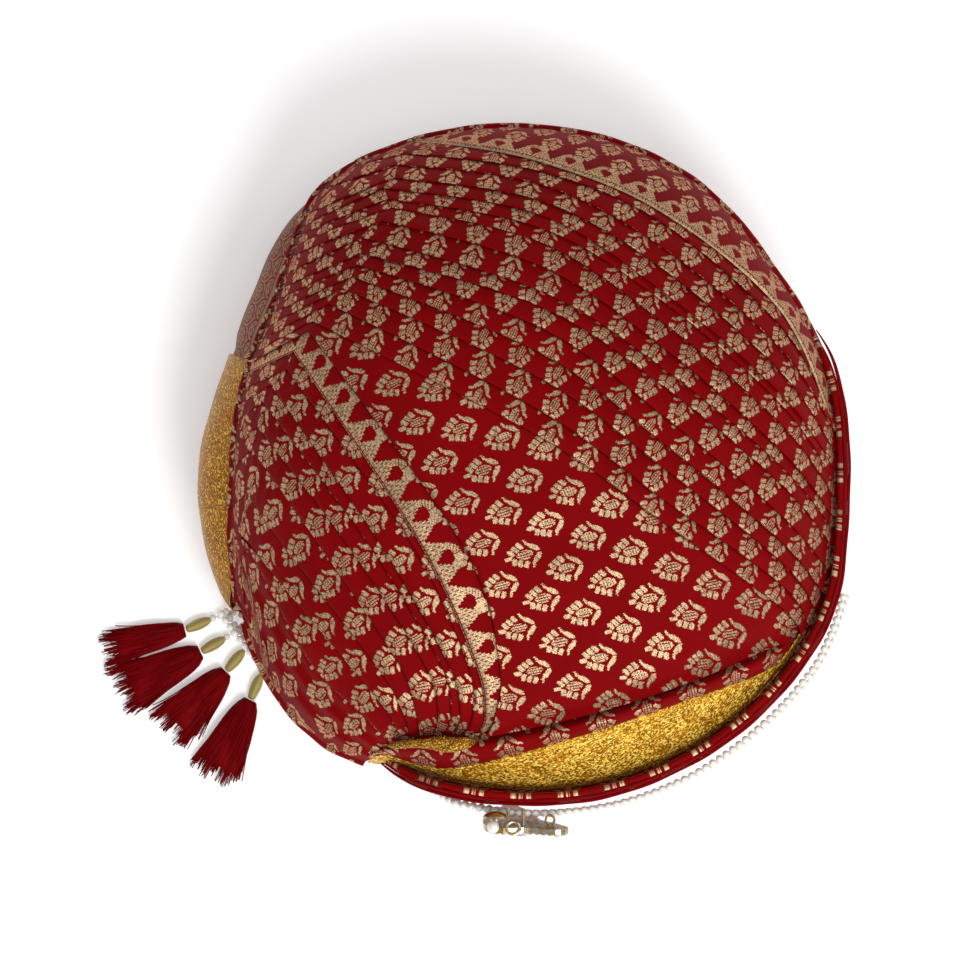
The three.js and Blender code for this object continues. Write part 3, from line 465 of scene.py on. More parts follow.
def pleat(sheet, upper, lower, first, size, dips=False, seed=0, tight=1.0):
    """One lapped pleat from under the fold above to its own folded edge, bent at BEND."""
    past_lower, past_upper = away_from(lower, upper), away_from(upper, lower)
    width = np.linalg.norm(lower - upper, axis=1)
    height = size * np.clip(width / 7, 0.5, 1) * laid_flat(lower)
    chance = np.random.default_rng(seed)
    phase, wave = chance.uniform(0, 6), chance.uniform(5, 7.5)
    from_bend = lengths_along(lower)
    from_bend = from_bend - from_bend[BEND]
    pucker = 0.4 * np.sin(2 * math.pi * from_bend / wave + phase) * np.exp(-np.abs(from_bend) / 26)
    plan_rows, rows, tuck = [], [], []
    for row in PLEAT:
        line = upper + (lower - upper) * row.share
        tuck.append(width * row.share - (row.past if row.share == 0 else 0))
        line = line + (past_lower if row.share == 1 else past_upper) * row.past
        bulge = 4 * row.share * (1 - row.share)
        rise = row.rise * height * (1 + ripple(line, 30, 0.3, seed + 90))
        rise = rise + ripple(line, 22, 0.35, SEED) * bulge + pucker * bulge
        if dips:
            rise = rise + dip(line)
        plan_rows.append(line)
        rows.append(on_dome(line, rise))
    plan_rows, rows, tuck = np.array(plan_rows), np.array(rows), np.array(tuck)
    for part in (slice(0, BEND + 1), slice(BEND, len(lower))):
        places = along_fold(plan_rows[:, part], lower[part], past_lower[part], first)
        sheet.add(rows[:, part], places * [tight, 1], tuck=tuck[:, part])


BACK_LINES = [back_fold(row) for row in BACK_FOLDS]
FRONT_LINES = [front_fold(row) for row in FRONT_FOLDS]


def field_from(i):
    """Where a pleat's folded edge lies in the cloth: it cuts its own column of butis at the heart."""
    return FIELD_FROM + COLUMN_STEP * (i + 2) - 3 + 2.5 * math.sin(i * 2.4)


# The outer band's rows: share of the way from the first fold to the crown's edge, and rise in fold
# heights
BAND_ROWS = [
    (0.05, 1), (0.12, 0.98), (0.2, 0.92), (0.3, 0.86), (0.4, 0.8), (0.5, 0.74), (0.6, 0.68), (0.7, 0.62),
    (0.79, 0.62), (0.81, 0.2), (0.86, 0.32), (0.895, 0.34), (0.91, 0), (0.96, 0.1), (1, 0),
]
# The temple border is woven smaller here than in the strip beside the open field: distance from the
# fold, and the place in the border that lies there
BAND_WEAVE = [(0, 0), (0.6, 0.75), (2.0, 1.1), (10.8, 15), (60, 72)]
UNDER_FOLD = -0.6
BAND_FROM = 103
BAND_TO = 7.4
BAND_TIGHT = 1.22
BACK_TIGHT = 1.17


def over_edge(outline):
    """The rows that turn over the crown's edge."""
    return [(outline + unit(outline) * reach, 0) for reach in OVER_EDGE[::-1]]


def laid(rows, wave, depth, seed):
    """Plan lines and their points over the crown, from (line, rise) rows, lying a little uneven."""
    lines = np.array([line for line, _ in rows])
    rises = np.array([np.broadcast_to(rise, len(line)) for line, rise in rows])
    return lines, on_dome(lines, rises + ripple(lines, wave, depth, seed))


def outer_band(size):
    sheet = Sheet()
    fold = BACK_LINES[0][len(OVER_EDGE) :]
    start = azimuth_of(edge_at_y(BACK_FOLDS[0].left_y, -1))
    leg = start + (BAND_FROM - start) * np.linspace(0, 1, LEG, endpoint=False)
    run = np.linspace(BAND_FROM, BAND_TO, RUN + 1)
    outline = crown_outline(np.concatenate([leg, run]))
    outline = np.concatenate([outline, outline[-1] + unit(outline[-1]) * OVER_EDGE[::-1, None]])
    past = away_from(fold, outline)
    rows = []
    for row in PLEAT[:7:-1]:
        rows.append((fold + past * (row.past if row.share == 1 else UNDER_FOLD), row.rise * size))
    for share, rise in BAND_ROWS:
        rows.append((fold + (outline - fold) * share, rise * size))
    rows += over_edge(outline)
    flat = laid_flat(fold)
    lines, points = laid([(line, rise * flat) for line, rise in rows], 26, 0.3, SEED + 1)
    places = along_fold(lines, fold, -past, 0)
    s, t = places[..., 0] * BAND_TIGHT, np.interp(np.abs(places[..., 1]), *zip(*BAND_WEAVE))
    sheet.add(points, np.stack([s, t], -1))
    return sheet


def back_pleats(size):
    sheet = Sheet()
    for i, (upper, lower) in enumerate(zip(BACK_LINES, BACK_LINES[1:])):
        pleat(sheet, upper, lower, field_from(i + 1), size, seed=i, tight=BACK_TIGHT)
    return sheet


# The open field's cloth turns a little about a far point, so its rows of butis fan slightly
FIELD_CENTRE = (-498.7, -258.1)
FIELD_RADIUS = 559.5
FIELD_START = -282.3
FIELD_SIDE = -0.6
FIELD_SHEAR = 0.137
PANEL_ROWS = 46
PANEL_TURN = 0.4


def field_places(xy):
    from_centre = xy - np.array(FIELD_CENTRE)
    s = -FIELD_RADIUS * np.arctan2(from_centre[..., 1], from_centre[..., 0]) - FIELD_START
    t = np.hypot(from_centre[..., 0], from_centre[..., 1]) - FIELD_RADIUS - FIELD_SIDE
    return np.stack([s - FIELD_SHEAR * t, t + FIELD_FROM + 4 * COLUMN_STEP], -1)


def plain_panel(size):
    sheet = Sheet()
    left = FRONT_LINES[0]
    upper = BACK_LINES[-1][: len(left)]
    valley = [(row.valley_x, row.valley_y + 1) for row in HEM[:-1] if row.valley_x > -20][::-1]
    ends = spline([upper[-1], *valley, left[-1]], 200)
    past_left, past_upper = away_from(left, upper), away_from(upper, left)
    order = np.linspace(0, 1, len(left))
    turn = np.clip((order - (1 - PANEL_TURN)) / PANEL_TURN, 0, 1)
    turn = smooth(turn)[:, None]
    shares = [(0, 3.0), (0, 1.0), *((share, 0) for share in np.linspace(0.01, 0.985, PANEL_ROWS))]
    shares += [(row.share, row.past) for row in ROUND_FOLD]
    fall = {row.past: row.rise for row in ROUND_FOLD}
    across = np.linalg.norm(left - upper, axis=1)
    lines, rows, tuck = [], [], []
    for share, past in shares:
        line = upper + (left - upper) * share
        end = evenly_at(ends, share)
        line = line + (end - line[-1]) * turn
        line = line + (past_left if share == 1 else past_upper) * past
        lift = fall[past] if share == 1 else (-0.2 if past else 0.1 + 0.9 * share)
        near_edge = math.exp(-(((1 - share) / 0.12) ** 2)) * 0.25
        rise = lift * size + near_edge * size * (share < 1) + dip(line)
        rise = rise + ripple(line, 34, 0.7, SEED + 2) * 4 * share * (1 - share)
        lines.append(line)
        rows.append(on_dome(line, rise))
        tuck.append(across * share - past * (share == 0))
    sheet.add(np.array(rows), field_places(np.array(lines)), tuck=tuck)
    return sheet


def evenly_at(points, share):
    return points[int(round(share * (len(points) - 1)))]


# Beyond the last fold: where along the crown's edge the cloth falls, in degrees, and how it is shared
SIDE_FROM = 209
SIDE_SPAN = 33
SIDE_LEG = 0.2
SIDE_EASE = 0.77
SIDE_FOLDS = 3
SIDE_ROWS = 34
STRIP_FROM = 1.25


def front_pleats(size):
    sheet = Sheet()
    for i, (upper, lower) in enumerate(zip(FRONT_LINES, FRONT_LINES[1:])):
        first = field_from(i + 20) if i else STRIP_FROM
        pleat(sheet, upper, lower, first, size, dips=True, seed=i + 40)
    # Beyond the last fold the cloth falls in three soft folds to the crown's edge
    last = FRONT_LINES[-1]
    leg = np.concatenate([np.zeros(len(OVER_EDGE)), np.linspace(0, SIDE_LEG, LEG, endpoint=False)])
    run = SIDE_LEG + (1 - SIDE_LEG) * (1 - (1 - np.linspace(0, 1, RUN + 1)) ** SIDE_EASE)
    outline = crown_outline(SIDE_FROM + SIDE_SPAN * np.concatenate([leg, run]))
    inwards = away_from(last, outline)
    rows = [(last + inwards * 3, -0.4)]
    for share in np.linspace(0, 1, SIDE_ROWS):
        soft = 0.55 * math.sin(share * SIDE_FOLDS * 2 * math.pi) * math.sin(share * math.pi) ** 0.5
        rise = size * (0.1 + soft) + dip(last) * (1 - share)
        rows.append((last + (outline - last) * share, rise))
    lines, points = laid(rows + over_edge(outline), 24, 0.5, SEED + 3)
    sheet.add(points, along_fold(lines, last, -inwards, field_from(33)))
    return sheet


HEM_PROFILE = rows(Profile, [
    (-0.25, 0, -5.6), (-0.05, 0, -4.2), (0.05, 0, -1.9), (0.13, 0, 0.2), (0.24, 0, 1.5), (0.38, 0, 2.3),
    (0.54, 0, 2.6), (0.7, 0, 2.2), (0.84, 0, 1.2), (0.94, 0, -0.1), (1.0, 0, -1.5), (1.0, 0, -2.6),
    (0.9, 0, -3.0),
])


HEM_STEPS = 160
HEM_DEPTH = 3
PUFF = (0.18, 0.09, 1.4)


def hem_line(side, count):
    """The hem's valley or its lower edge."""
    return spline([(getattr(row, f"{side}_x"), getattr(row, f"{side}_y")) for row in HEM], count)


def hem_roll():
    """The rolled hem, puffed up a little beside the loop and thin at both ends."""
    sheet = Sheet()
    valley, lower = hem_line("valley", HEM_STEPS), hem_line("lower", HEM_STEPS)
    u = np.linspace(0, 1, HEM_STEPS)
    puff_at, puff_width, puff_height = PUFF
    puff = puff_height * np.exp(-(((u - puff_at) / puff_width) ** 2))
    ends = np.minimum(1, np.minimum(u / 0.12 + 0.35, (1 - u) / 0.05))
    lines, rises = [], []
    for row in HEM_PROFILE:
        line = valley + (lower - valley) * row.share
        lines.append(line)
        soft = ripple(line, 20, 0.5, SEED + 4)
        swell = max(0, 4 * row.share * (1 - row.share))
        rises.append((row.rise + HEM_DEPTH) * ends - HEM_DEPTH + (puff + soft) * swell)
    lines = np.array(lines)
    points = on_dome(lines, np.array(rises))
    sheet.add(points, along_fold(lines, lower, away_from(lower, valley), FIELD_FROM + 40))
    return sheet


TISSUE_ENDS = (242.4, 329)
TISSUE_STEPS = 150
TISSUE_ROWS = 22


def front_tissue():
    sheet = Sheet()
    lower = hem_line("lower", 300)
    azimuth = np.linspace(*TISSUE_ENDS, TISSUE_STEPS)
    inner = np.interp(azimuth - 360, azimuth_of(lower), np.hypot(lower[:, 0], lower[:, 1]))
    outer = np.maximum(inner + 0.5, section(azimuth, "dome_r") + 0.6)
    rows = []
    for share in np.linspace(-0.12, 1, TISSUE_ROWS):
        rows.append((plan(azimuth, inner + (outer - inner) * share), -2.6 if share < 0 else -0.9))
    lines, points = laid(rows, 16, 0.5, SEED + 5)
    sheet.add(points, along_fold(lines, lines[-1], unit(lines[-1]), 0))
    return sheet


# The wall's cloth

WRAPS = [(0.0, 0.26), (0.265, 0.52), (0.525, 0.74), (0.745, 1.0)]
WRAP_STANDS = 1.4
TOP_STANDS = 0.5
FOLDS_A_WRAP = 2
# One fold of a wrap from its foot to its upper edge: share of its height, and how far it stands off
WRAP_FOLD = [(0, 0.0), (0.25, 0.4), (0.5, 0.75), (0.75, 0.95), (0.92, 1.0), (1.0, 0.7)]
WRAP_TUCK = 9.3
WRAP_SHIFT = 17.3


def wall_wrap(low, high, seed):
    """One band of the wall, wound in lapped folds whose upper edges stand off, with its inner face."""
    sheet = Sheet()
    azimuth = np.linspace(90, 450, 361)
    outside = []
    for fold in range(FOLDS_A_WRAP):
        a = low + (high - low) * fold / FOLDS_A_WRAP
        b = low + (high - low) * (fold + 1) / FOLDS_A_WRAP
        stands = WRAP_STANDS if high < 1 else TOP_STANDS
        outside += [(a + (b - a) * share, off * stands) for share, off in WRAP_FOLD]
    shares = np.array([share for share, _ in outside])[:, None]
    stands = np.array([off for _, off in outside])[:, None]
    angle = np.radians(azimuth)[None, :]
    wave = 0.25 * np.sin(angle * 9 + seed) + 0.2 * np.sin(angle * 23 + 2 * seed)
    lean = 0.01 * np.sin(angle + seed) * np.sin(np.pi * (shares - low) / (high - low))
    face = on_wall(azimuth[None, :], shares + lean, stands + wave * stands)
    inner = on_wall(azimuth[None, :], shares, -CLOTH)
    along = lengths_along(face[len(outside) // 2])
    height = lengths_along(face[:, 0])
    folds = np.repeat(np.arange(FOLDS_A_WRAP), len(WRAP_FOLD)) * WRAP_TUCK
    first = FIELD_FROM + COLUMN_STEP + seed * WRAP_SHIFT
    places = np.stack(np.broadcast_arrays(along[None, :], (height + folds)[:, None] + first), -1)
    sheet.add(face, places)
    # The top edge is rounded over, and the inner face follows the outer one down to the foot
    rounded = (face[-1:] + inner[-1:]) / 2 + [0, 0, 0.5]
    foot = (face[:1] + inner[:1]) / 2
    inside = np.concatenate([face[-1:], rounded, inner[::-1], foot, face[:1]])
    inside[..., 2] = np.maximum(inside[..., 2], 0)
    inside_places = np.concatenate([places[-1:], places[-1:], places[::-1], places[:1], places[:1]])
    flipped = Sheet()
    flipped.add(inside, inside_places)
    sheet.points += flipped.points
    sheet.cloth += flipped.cloth
    sheet.tuck += flipped.tuck
    sheet.quads += [quads[:, ::-1] + sheet.count for quads in flipped.quads]
    sheet.count += flipped.count
    return sheet


Band = namedtuple("Band", "start end low high off thickness")
RIM_INNER = Band(-117, 22, 0.8, 1.0, 2.0, 1.66)
RIM_OUTER = Band(-117, 25, 0.8, 0.95, 3.7, 1.6)
SIDE_GOLD = Band(158, 209, 0.58, 0.985, 3.9, 1.3)
SIDE_BROCADE = Band(127, 160.5, 0.58, 0.985, 3.9, 1.3)


BAND_SIDE_ROWS = 12
# How far the band's rounded top edge lies inside its outer face, in thicknesses
BAND_TOP = (0.22, 0.6, 0.85)
BAND_TOP_RISE = 0.012
BAND_CLOSER = 1.6


def wall_band(band, seed, slopes=(0.01, 0.01), tucks_at=None):
    """A folded strip over the wall, open at its foot, with a round folded edge along its top. Its
    top falls away over slopes degrees towards its start and its end, and past the azimuth tucks_at
    it lies closer, under the next strip."""
    sheet = Sheet()
    steps = int((band.end - band.start) * 1.6)
    azimuth = np.linspace(band.start, band.end, steps)
    near_end = np.minimum(azimuth - band.start, band.end - azimuth)
    fall = np.minimum((azimuth - band.start) / slopes[0], (band.end - azimuth) / slopes[1])
    fall = np.clip(fall, 0.0, 1.0)
    fall = (fall * (2 - fall))[None, :]
    closer = BAND_CLOSER * np.clip((azimuth - (tucks_at or band.end)) / 2.5, 0, 1)
    top = [band.off - drop * band.thickness for drop in BAND_TOP]
    up = np.linspace(0, 1, BAND_SIDE_ROWS)
    height = np.concatenate([up, np.ones(len(top)), np.linspace(1, 0, BAND_SIDE_ROWS)])[:, None]
    off = np.array([band.off] * BAND_SIDE_ROWS + top + [top[-1]] * BAND_SIDE_ROWS)[:, None]
    share = band.low + (band.high - band.low) * height * (0.06 + 0.94 * fall)
    share[BAND_SIDE_ROWS : BAND_SIDE_ROWS + 2] += BAND_TOP_RISE
    angle = np.radians(azimuth)[None, :]
    sway = 0.18 * np.sin(angle * 14 + seed) + 0.12 * np.sin(angle * 37 + seed)
    stands = (off + sway * np.minimum(1, near_end / 3)) * (0.35 + 0.65 * fall) - closer
    points = on_wall(azimuth[None, :], share, stands)
    along = lengths_along(points[6])
    down = lengths_along(points[:, steps // 2])
    places = np.stack(np.broadcast_arrays(along[None, :], (down - down[BAND_SIDE_ROWS])[:, None]), -1)
    sheet.add(points, places, facing=10)
    return sheet


# The loop's middle line in the plan and above the crown, and its radius along it
LOOP = [
    (-57.6, -119.8, 0.1), (-48, -118.6, 1.5), (-39, -118.3, 1.9), (-30, -118.6, 1.5), (-20.6, -117.4, 0.1),
]
LOOP_RADIUS = [(0, 0.35), (0.12, 1.6), (0.5, 2.2), (0.8, 3.1), (0.93, 2.7), (1, 0.9)]
LOOP_WIDE = 1.05
LOOP_TALL = 0.9
LOOP_TURNS = 1.6


def gold_loop():
    """A twisted roll of tissue, thin where it starts at the left and thick where it tucks under."""
    sheet = Sheet()
    stops = [(x, y, float(dome_height(np.array([x, y]))) + above) for x, y, above in LOOP]
    path = spline(stops, 130)
    share = np.linspace(0, 1, len(path))[:, None]
    full = np.interp(share, *zip(*LOOP_RADIUS))
    path[:, 2:] += 0.8 * full
    tangent = unit(np.gradient(path, axis=0))
    side = unit(np.cross(tangent, [0, 0, 1.0]))
    up = np.cross(side, tangent)
    angle = np.linspace(0, 2 * math.pi, 61)
    twist = share * 2 * math.pi * LOOP_TURNS + 0.8 * np.sin(share * 9)
    crease = 1 + 0.14 * np.cos(2 * angle - twist) + 0.05 * np.cos(9 * angle - 4 * twist)
    ring = side[:, None] * np.cos(angle)[:, None] * LOOP_WIDE
    ring = ring + up[:, None] * np.sin(angle)[:, None] * LOOP_TALL
    points = path[:, None] + ring * (full * crease)[..., None]
    places = np.stack(np.broadcast_arrays((share * 40), (angle * 2.2)[None, :]), -1)
    sheet.add(points.transpose(1, 0, 2), places.transpose(1, 0, 2), centre=path.mean(axis=0))
    return sheet


# Pearls, tassels and the brooch

class Solid:
    """Gathers small closed shapes of one piece and one finish."""

    def __init__(self):
        self.points, self.faces, self.count = [], [], 0

    def add(self, points, faces):
        points = np.asarray(points, float)
        self.points.append(points)
        self.faces += [tuple(int(i) + self.count for i in face) for face in faces]
        self.count += len(points)

    def build(self, name, material, flat=False):
        piece = new_object(name, metres(np.concatenate(self.points)), self.faces, material)
        if flat:
            piece.data.polygons.foreach_set("use_smooth", [False] * len(piece.data.polygons))
        return piece


def ring_faces(rings, sides, capped=True):
    """Faces of a skin over rings of points, closed with a flat face at each end if capped."""
    faces = []
    for i in range(rings - 1):
        a, b = i * sides, (i + 1) * sides
        faces += [(a + k, a + (k + 1) % sides, b + (k + 1) % sides, b + k) for k in range(sides)]
    if capped:
        faces += [tuple(range(sides))[::-1], tuple((rings - 1) * sides + k for k in range(sides))]
    return faces


def ball(segments, rings):
    """A unit ball's points and faces."""
    points = [(0, 0, 1)]
    for i in range(1, rings):
        tilt = math.pi * i / rings
        for k in range(segments):
            turn = 2 * math.pi * k / segments
            flat = math.sin(tilt)
            points.append((flat * math.cos(turn), flat * math.sin(turn), math.cos(tilt)))
    points.append((0, 0, -1))
    last = len(points) - 1
    faces = [(0, 1 + k, 1 + (k + 1) % segments) for k in range(segments)]
    for i in range(rings - 2):
        a, b = 1 + i * segments, 1 + (i + 1) * segments
        faces += [(a + k, b + k, b + (k + 1) % segments, a + (k + 1) % segments) for k in range(segments)]
    a = 1 + (rings - 2) * segments
    faces += [(a + k, last, a + (k + 1) % segments) for k in range(segments)]
    return np.array(points), faces


def tube(solid, path, radii, sides, turn=0.0):
    """A bar along a path, closed at both ends."""
    path = np.asarray(path, float)
    radii = np.broadcast_to(radii, len(path))
    tangent = unit(np.gradient(path, axis=0))
    side = unit(np.cross(tangent, [0.13, 0.08, 1.0]))
    up = np.cross(side, tangent)
    angle = around(sides) + turn
    ring = side[:, None] * np.cos(angle)[:, None] + up[:, None] * np.sin(angle)[:, None]
    points = (path[:, None] + ring * radii[:, None, None]).reshape(-1, 3)
    solid.add(points, ring_faces(len(path), sides))


def lathe(solid, profile, sides, at, way):
    """A turned shape from (radius, distance) pairs along a direction from a point."""
    way = unit(np.asarray(way, float))
    side = unit(np.cross(way, [0.1, 0.2, 1.0]))
    up = np.cross(side, way)
    points = []
    for radius, along in profile:
        for a in around(sides):
            points.append(np.asarray(at) + way * along + (side * math.cos(a) + up * math.sin(a)) * radius)
    solid.add(points, ring_faces(len(profile), sides, capped=False))


PEARL_STEP = 1.015
THREAD_RADIUS = 0.35


def strung(solid, path, diameter, seed):
    """Pearls side by side along a thread, each a little uneven."""
    chance = np.random.default_rng(seed)
    shape, faces = ball(12, 8)
    length = lengths_along(path)[-1]
    count = max(2, int(length / (diameter * PEARL_STEP)))
    for place in evenly(path, count):
        size = diameter / 2 * chance.uniform(0.94, 1.02) * np.array([1, 1, chance.uniform(0.93, 1.0)])
        solid.add(place + shape * size, faces)
    tube(solid, evenly(path, count * 2), THREAD_RADIUS, 5)


def string_place(row, upper):
    z = row.z - (0 if upper else row.drop)
    share = min(BULGE_SHARE, BULGE_SHARE * z / float(section(row.azimuth, "bulge_z")))
    radius = float(wall_point(row.azimuth, share)[0]) + row.standoff + (0 if upper else row.out)
    return (*plan(row.azimuth, radius), z)


def string_path(upper):
    """The route of one of the two pearl strings round the rim."""
    points = []
    for a, b in zip(STRINGS, STRINGS[1:]):
        for share in (0, 0.25, 0.5, 0.75):
            between = String(*(p * (1 - share) + q * share for p, q in zip(a, b)))
            points.append(string_place(between, upper))
    points.append(string_place(STRINGS[-1], upper))
    return spline(points, 600)


def tassel_path(row, pearl):
    """From the lower pearl string straight down the wall, then over the surface to the bead."""
    lower = string_path(False)
    top = lower[np.argmin(np.abs(np.mod(azimuth_of(lower), 360) - row.leaves))]
    way = plan(row.bead_lies, 1.0)
    end = np.array([row.bead_x, row.bead_y]) - way * 1.04

    def at(share, z):
        return (*(top[:2] + (end - top[:2]) * share), z)

    stops = [
        at(0, top[2] - pearl / 2 - 0.6), at(0, top[2] / 2), at(0, 4 * pearl),
        at(0.12, 2 * pearl), at(0.5, pearl), at(1, pearl / 2 + 0.1),
    ]
    path = spline(stops, 200)
    path[:, 2] = np.maximum(path[:, 2], pearl / 2 + 0.05)
    return path


# The wound bead: (share of its length, radius)
BEAD_SHAPE = [
    (0, 1.0), (0.08, 1.6), (0.18, 2.15), (0.4, 2.6), (0.62, 2.55), (0.85, 2.1), (0.95, 1.8), (1, 1.1),
]
BEAD_STEPS = 88
BEAD_SIDES = 22
WINDING_STEP = 0.62
WINDING_RIDGE = 0.09


def wound_bead(solid, row):
    """A torpedo bead wound with metallic thread, with the winding as fine ridges."""
    way = np.array([*plan(row.bead_lies, 1.0), 0])
    at = np.array([row.bead_x, row.bead_y, BEAD_WIDTH / 2])
    share = np.linspace(0, 1, BEAD_STEPS)
    radius = np.interp(share, *zip(*BEAD_SHAPE))
    side = np.array([-way[1], way[0], 0])
    up = np.array([0, 0, 1.0])
    angle = around(BEAD_SIDES)
    ridge = WINDING_RIDGE * np.sin(2 * math.pi * share[:, None] * BEAD_LENGTH / WINDING_STEP + angle)
    reach = (radius[:, None] + ridge - WINDING_RIDGE)[..., None]
    ring = side * np.cos(angle)[:, None] + up * np.sin(angle)[:, None]
    points = (at + way * (share * BEAD_LENGTH)[:, None])[:, None] + ring * reach
    solid.add(points.reshape(-1, 3), ring_faces(BEAD_STEPS, BEAD_SIDES))


HEART_SIDES = 16
SKIRT_GAP = 0.8
SKIRT_FLARE = 0.62
STRAND_RADIUS = 0.33
STRAND_STEPS = 12
# One turn of the binding: (radius, distance along the tassel)
BINDING = [(2.6, -0.4), (3.0, -0.28), (3.12, 0), (3.0, 0.28), (2.6, 0.4)]


def silk_skirt(solid, row, strands, seed):
    """A tassel's strands, laid over a solid heart so that nothing shows through."""
    chance = np.random.default_rng(seed)
    way = np.array([*plan(row.skirt_lies, 1.0), 0])
    side = np.array([-way[1], way[0], 0])
    along_bead = np.array([*plan(row.bead_lies, 1.0), 0])
    start = np.array([row.bead_x, row.bead_y, 0]) + along_bead * (BEAD_LENGTH + SKIRT_GAP)
    t = np.linspace(0, 1, STRAND_STEPS)
    half = (SKIRT_NECK + (row.width * 1.1 - SKIRT_NECK) * t**SKIRT_FLARE) / 2
    tall = SKIRT_NECK + (SKIRT_HEIGHT - SKIRT_NECK) * np.sin(math.pi * t)

    def place(along, across, up):
        flat = start + way * along[:, None] + side * across[:, None]
        return flat + np.array([0, 0, 1]) * up[:, None]

    heart = []
    angle = around(HEART_SIDES)
    for k, share in enumerate(t[:-1]):
        along = np.full(HEART_SIDES, share * row.length * 0.93)
        up = tall[k] * (0.46 + 0.4 * np.sin(angle)) * (1 - 0.3 * share)
        heart.append(place(along, np.cos(angle) * half[k] * 0.86, up))
    solid.add(np.concatenate(heart), ring_faces(len(heart), HEART_SIDES))
    for _ in range(strands):
        turn = chance.uniform(0, 2 * math.pi)
        out = 0.9 * math.sqrt(chance.uniform(0.55, 1))
        across = math.cos(turn) * out
        length = row.length * (chance.uniform(0.8, 1.0) + 0.07 * math.sin(across * 9 + seed))
        drift = chance.normal(0, 1.0)
        up = 0.5 + 0.5 * math.sin(turn) * out
        fall = 1 - 0.35 * t * (up > 0.5)
        z = np.maximum(0.32, tall * up * fall + 0.35 * np.sin(t * 9 + turn * 3))
        wander = across * half + drift * t**2 + 0.3 * np.sin(t * 7 + turn * 5)
        tube(solid, place(t * length, wander, z), STRAND_RADIUS * (1 - 0.35 * t), 4, turn=turn)
    # The silk's own binding at the neck
    for ring in range(3):
        at = start + way * (0.9 + ring * 0.75) + np.array([0, 0, SKIRT_NECK / 2])
        lathe(solid, BINDING, 20, at, way)


PLATE_HALF = 1.2
PLATE_LEAN = math.radians(102)
PLATE_AT = (-152.8, 106)
PLATE_OUTLINE = [
    (-17, 2), (-16, 9.5), (-11, 13.5), (-5, 14.5), (1, 13.5), (9, 15.5), (16, 17), (20, 13.5),
    (15, 7), (8, 1), (5, -9), (0, -18), (-6, -27), (-9, -20), (-13, -9),
]
Stone = namedtuple("Stone", "x v wide tall")
CENTRE_STONES = [Stone(-1, 5.5, 4.8, 4.0), Stone(-4.8, -14.5, 2.2, 3.4)]
STONE_SIDES = 10
STONE_LIFT = 0.35
# Girdle, widest place and table: share of the stone's size, and height in stone sizes
STONE_CUT = [(0.92, 0.02), (1.0, 0.35), (0.62, 0.72)]
STONE_EDGE = 0.75
COLLET_PAST = 0.12
COLLET_WIRE = 0.27


def on_plate(x, v, out):
    """A place on the brooch: across, up along its face and out from the middle of the plate."""
    c, s = math.cos(PLATE_LEAN), math.sin(PLATE_LEAN)
    w = PLATE_HALF + out
    return np.array([x, PLATE_AT[0] + v * c - w * s, PLATE_AT[1] + v * s + w * c])


def inside_outline(x, v, outline):
    inside = False
    for (ax, av), (bx, bv) in zip(outline, outline[1:] + outline[:1]):
        if (av > v) != (bv > v) and x < (bx - ax) * (v - av) / (bv - av) + ax:
            inside = not inside
    return inside


def stone_ring(stone, share, past, out, sides, count):
    """Points of an oval round a stone's middle, out from the plate."""
    wide, tall = stone.wide * share + past, stone.tall * share + past
    angles = [2 * math.pi * k / sides for k in range(count)]
    return [on_plate(stone.x + wide * math.cos(a), stone.v + tall * math.sin(a), out) for a in angles]


def cut_stone(solid, stone):
    """A faceted stone with a table, a crown and a girdle, flat-backed on the plate."""
    depth = min(stone.wide, stone.tall)
    points = []
    for share, out in STONE_CUT:
        points += stone_ring(stone, share, 0, STONE_LIFT + out * depth, STONE_SIDES, STONE_SIDES)
    solid.add(points, ring_faces(len(STONE_CUT), STONE_SIDES))


def collet(solid, stone):
    """The thin metal ring that holds a stone."""
    tube(solid, stone_ring(stone, 1, COLLET_PAST, 0.32, 24, 25), COLLET_WIRE, 6)


def brooch_stones(size):
    """Where the brooch's stones sit: one row inside its outline and rows round the centre stones."""
    places = []
    dense = spline([*PLATE_OUTLINE, PLATE_OUTLINE[0]], 400)
    middle = dense.mean(axis=0)
    normal = away_from(dense, np.broadcast_to(middle, dense.shape))
    inset = dense - normal * (size / 2 + STONE_EDGE)
    if not inside_outline(*inset[0], PLATE_OUTLINE):
        inset = dense + normal * (size / 2 + STONE_EDGE)
    for x, v in inset:
        near = any(math.hypot(x - p.x, v - p.v) < size + 0.5 for p in places)
        if inside_outline(x, v, PLATE_OUTLINE) and not near:
            places.append(Stone(x, v, size / 2, size / 2))
    for centre in CENTRE_STONES:
        count = int(2 * math.pi * (centre.wide + centre.tall + 2) / 2 / (size * 0.95))
        for k in range(count):
            a = 2 * math.pi * k / count
            x = centre.x + (centre.wide + size * 0.55) * math.cos(a)
            v = centre.v + (centre.tall + size * 0.55) * math.sin(a)
            near = any(math.hypot(x - p.x, v - p.v) < size * 0.86 for p in places)
            if inside_outline(x, v, PLATE_OUTLINE) and not near:
                places.append(Stone(x, v, size * 0.4, size * 0.4))
    return places + CENTRE_STONES


# Shader effects, each a node group

WHOLE_TURN = 6.2832
TEMPLE_HEIGHT = 9.6
TEMPLE_STEP = 1.6
TEMPLE_FOOT = 1.2
BORDER_END = 15.4


def operation(title):
    """A method that joins a number and any others by one Math node."""
    return lambda value, *others: value.math(title, *others)


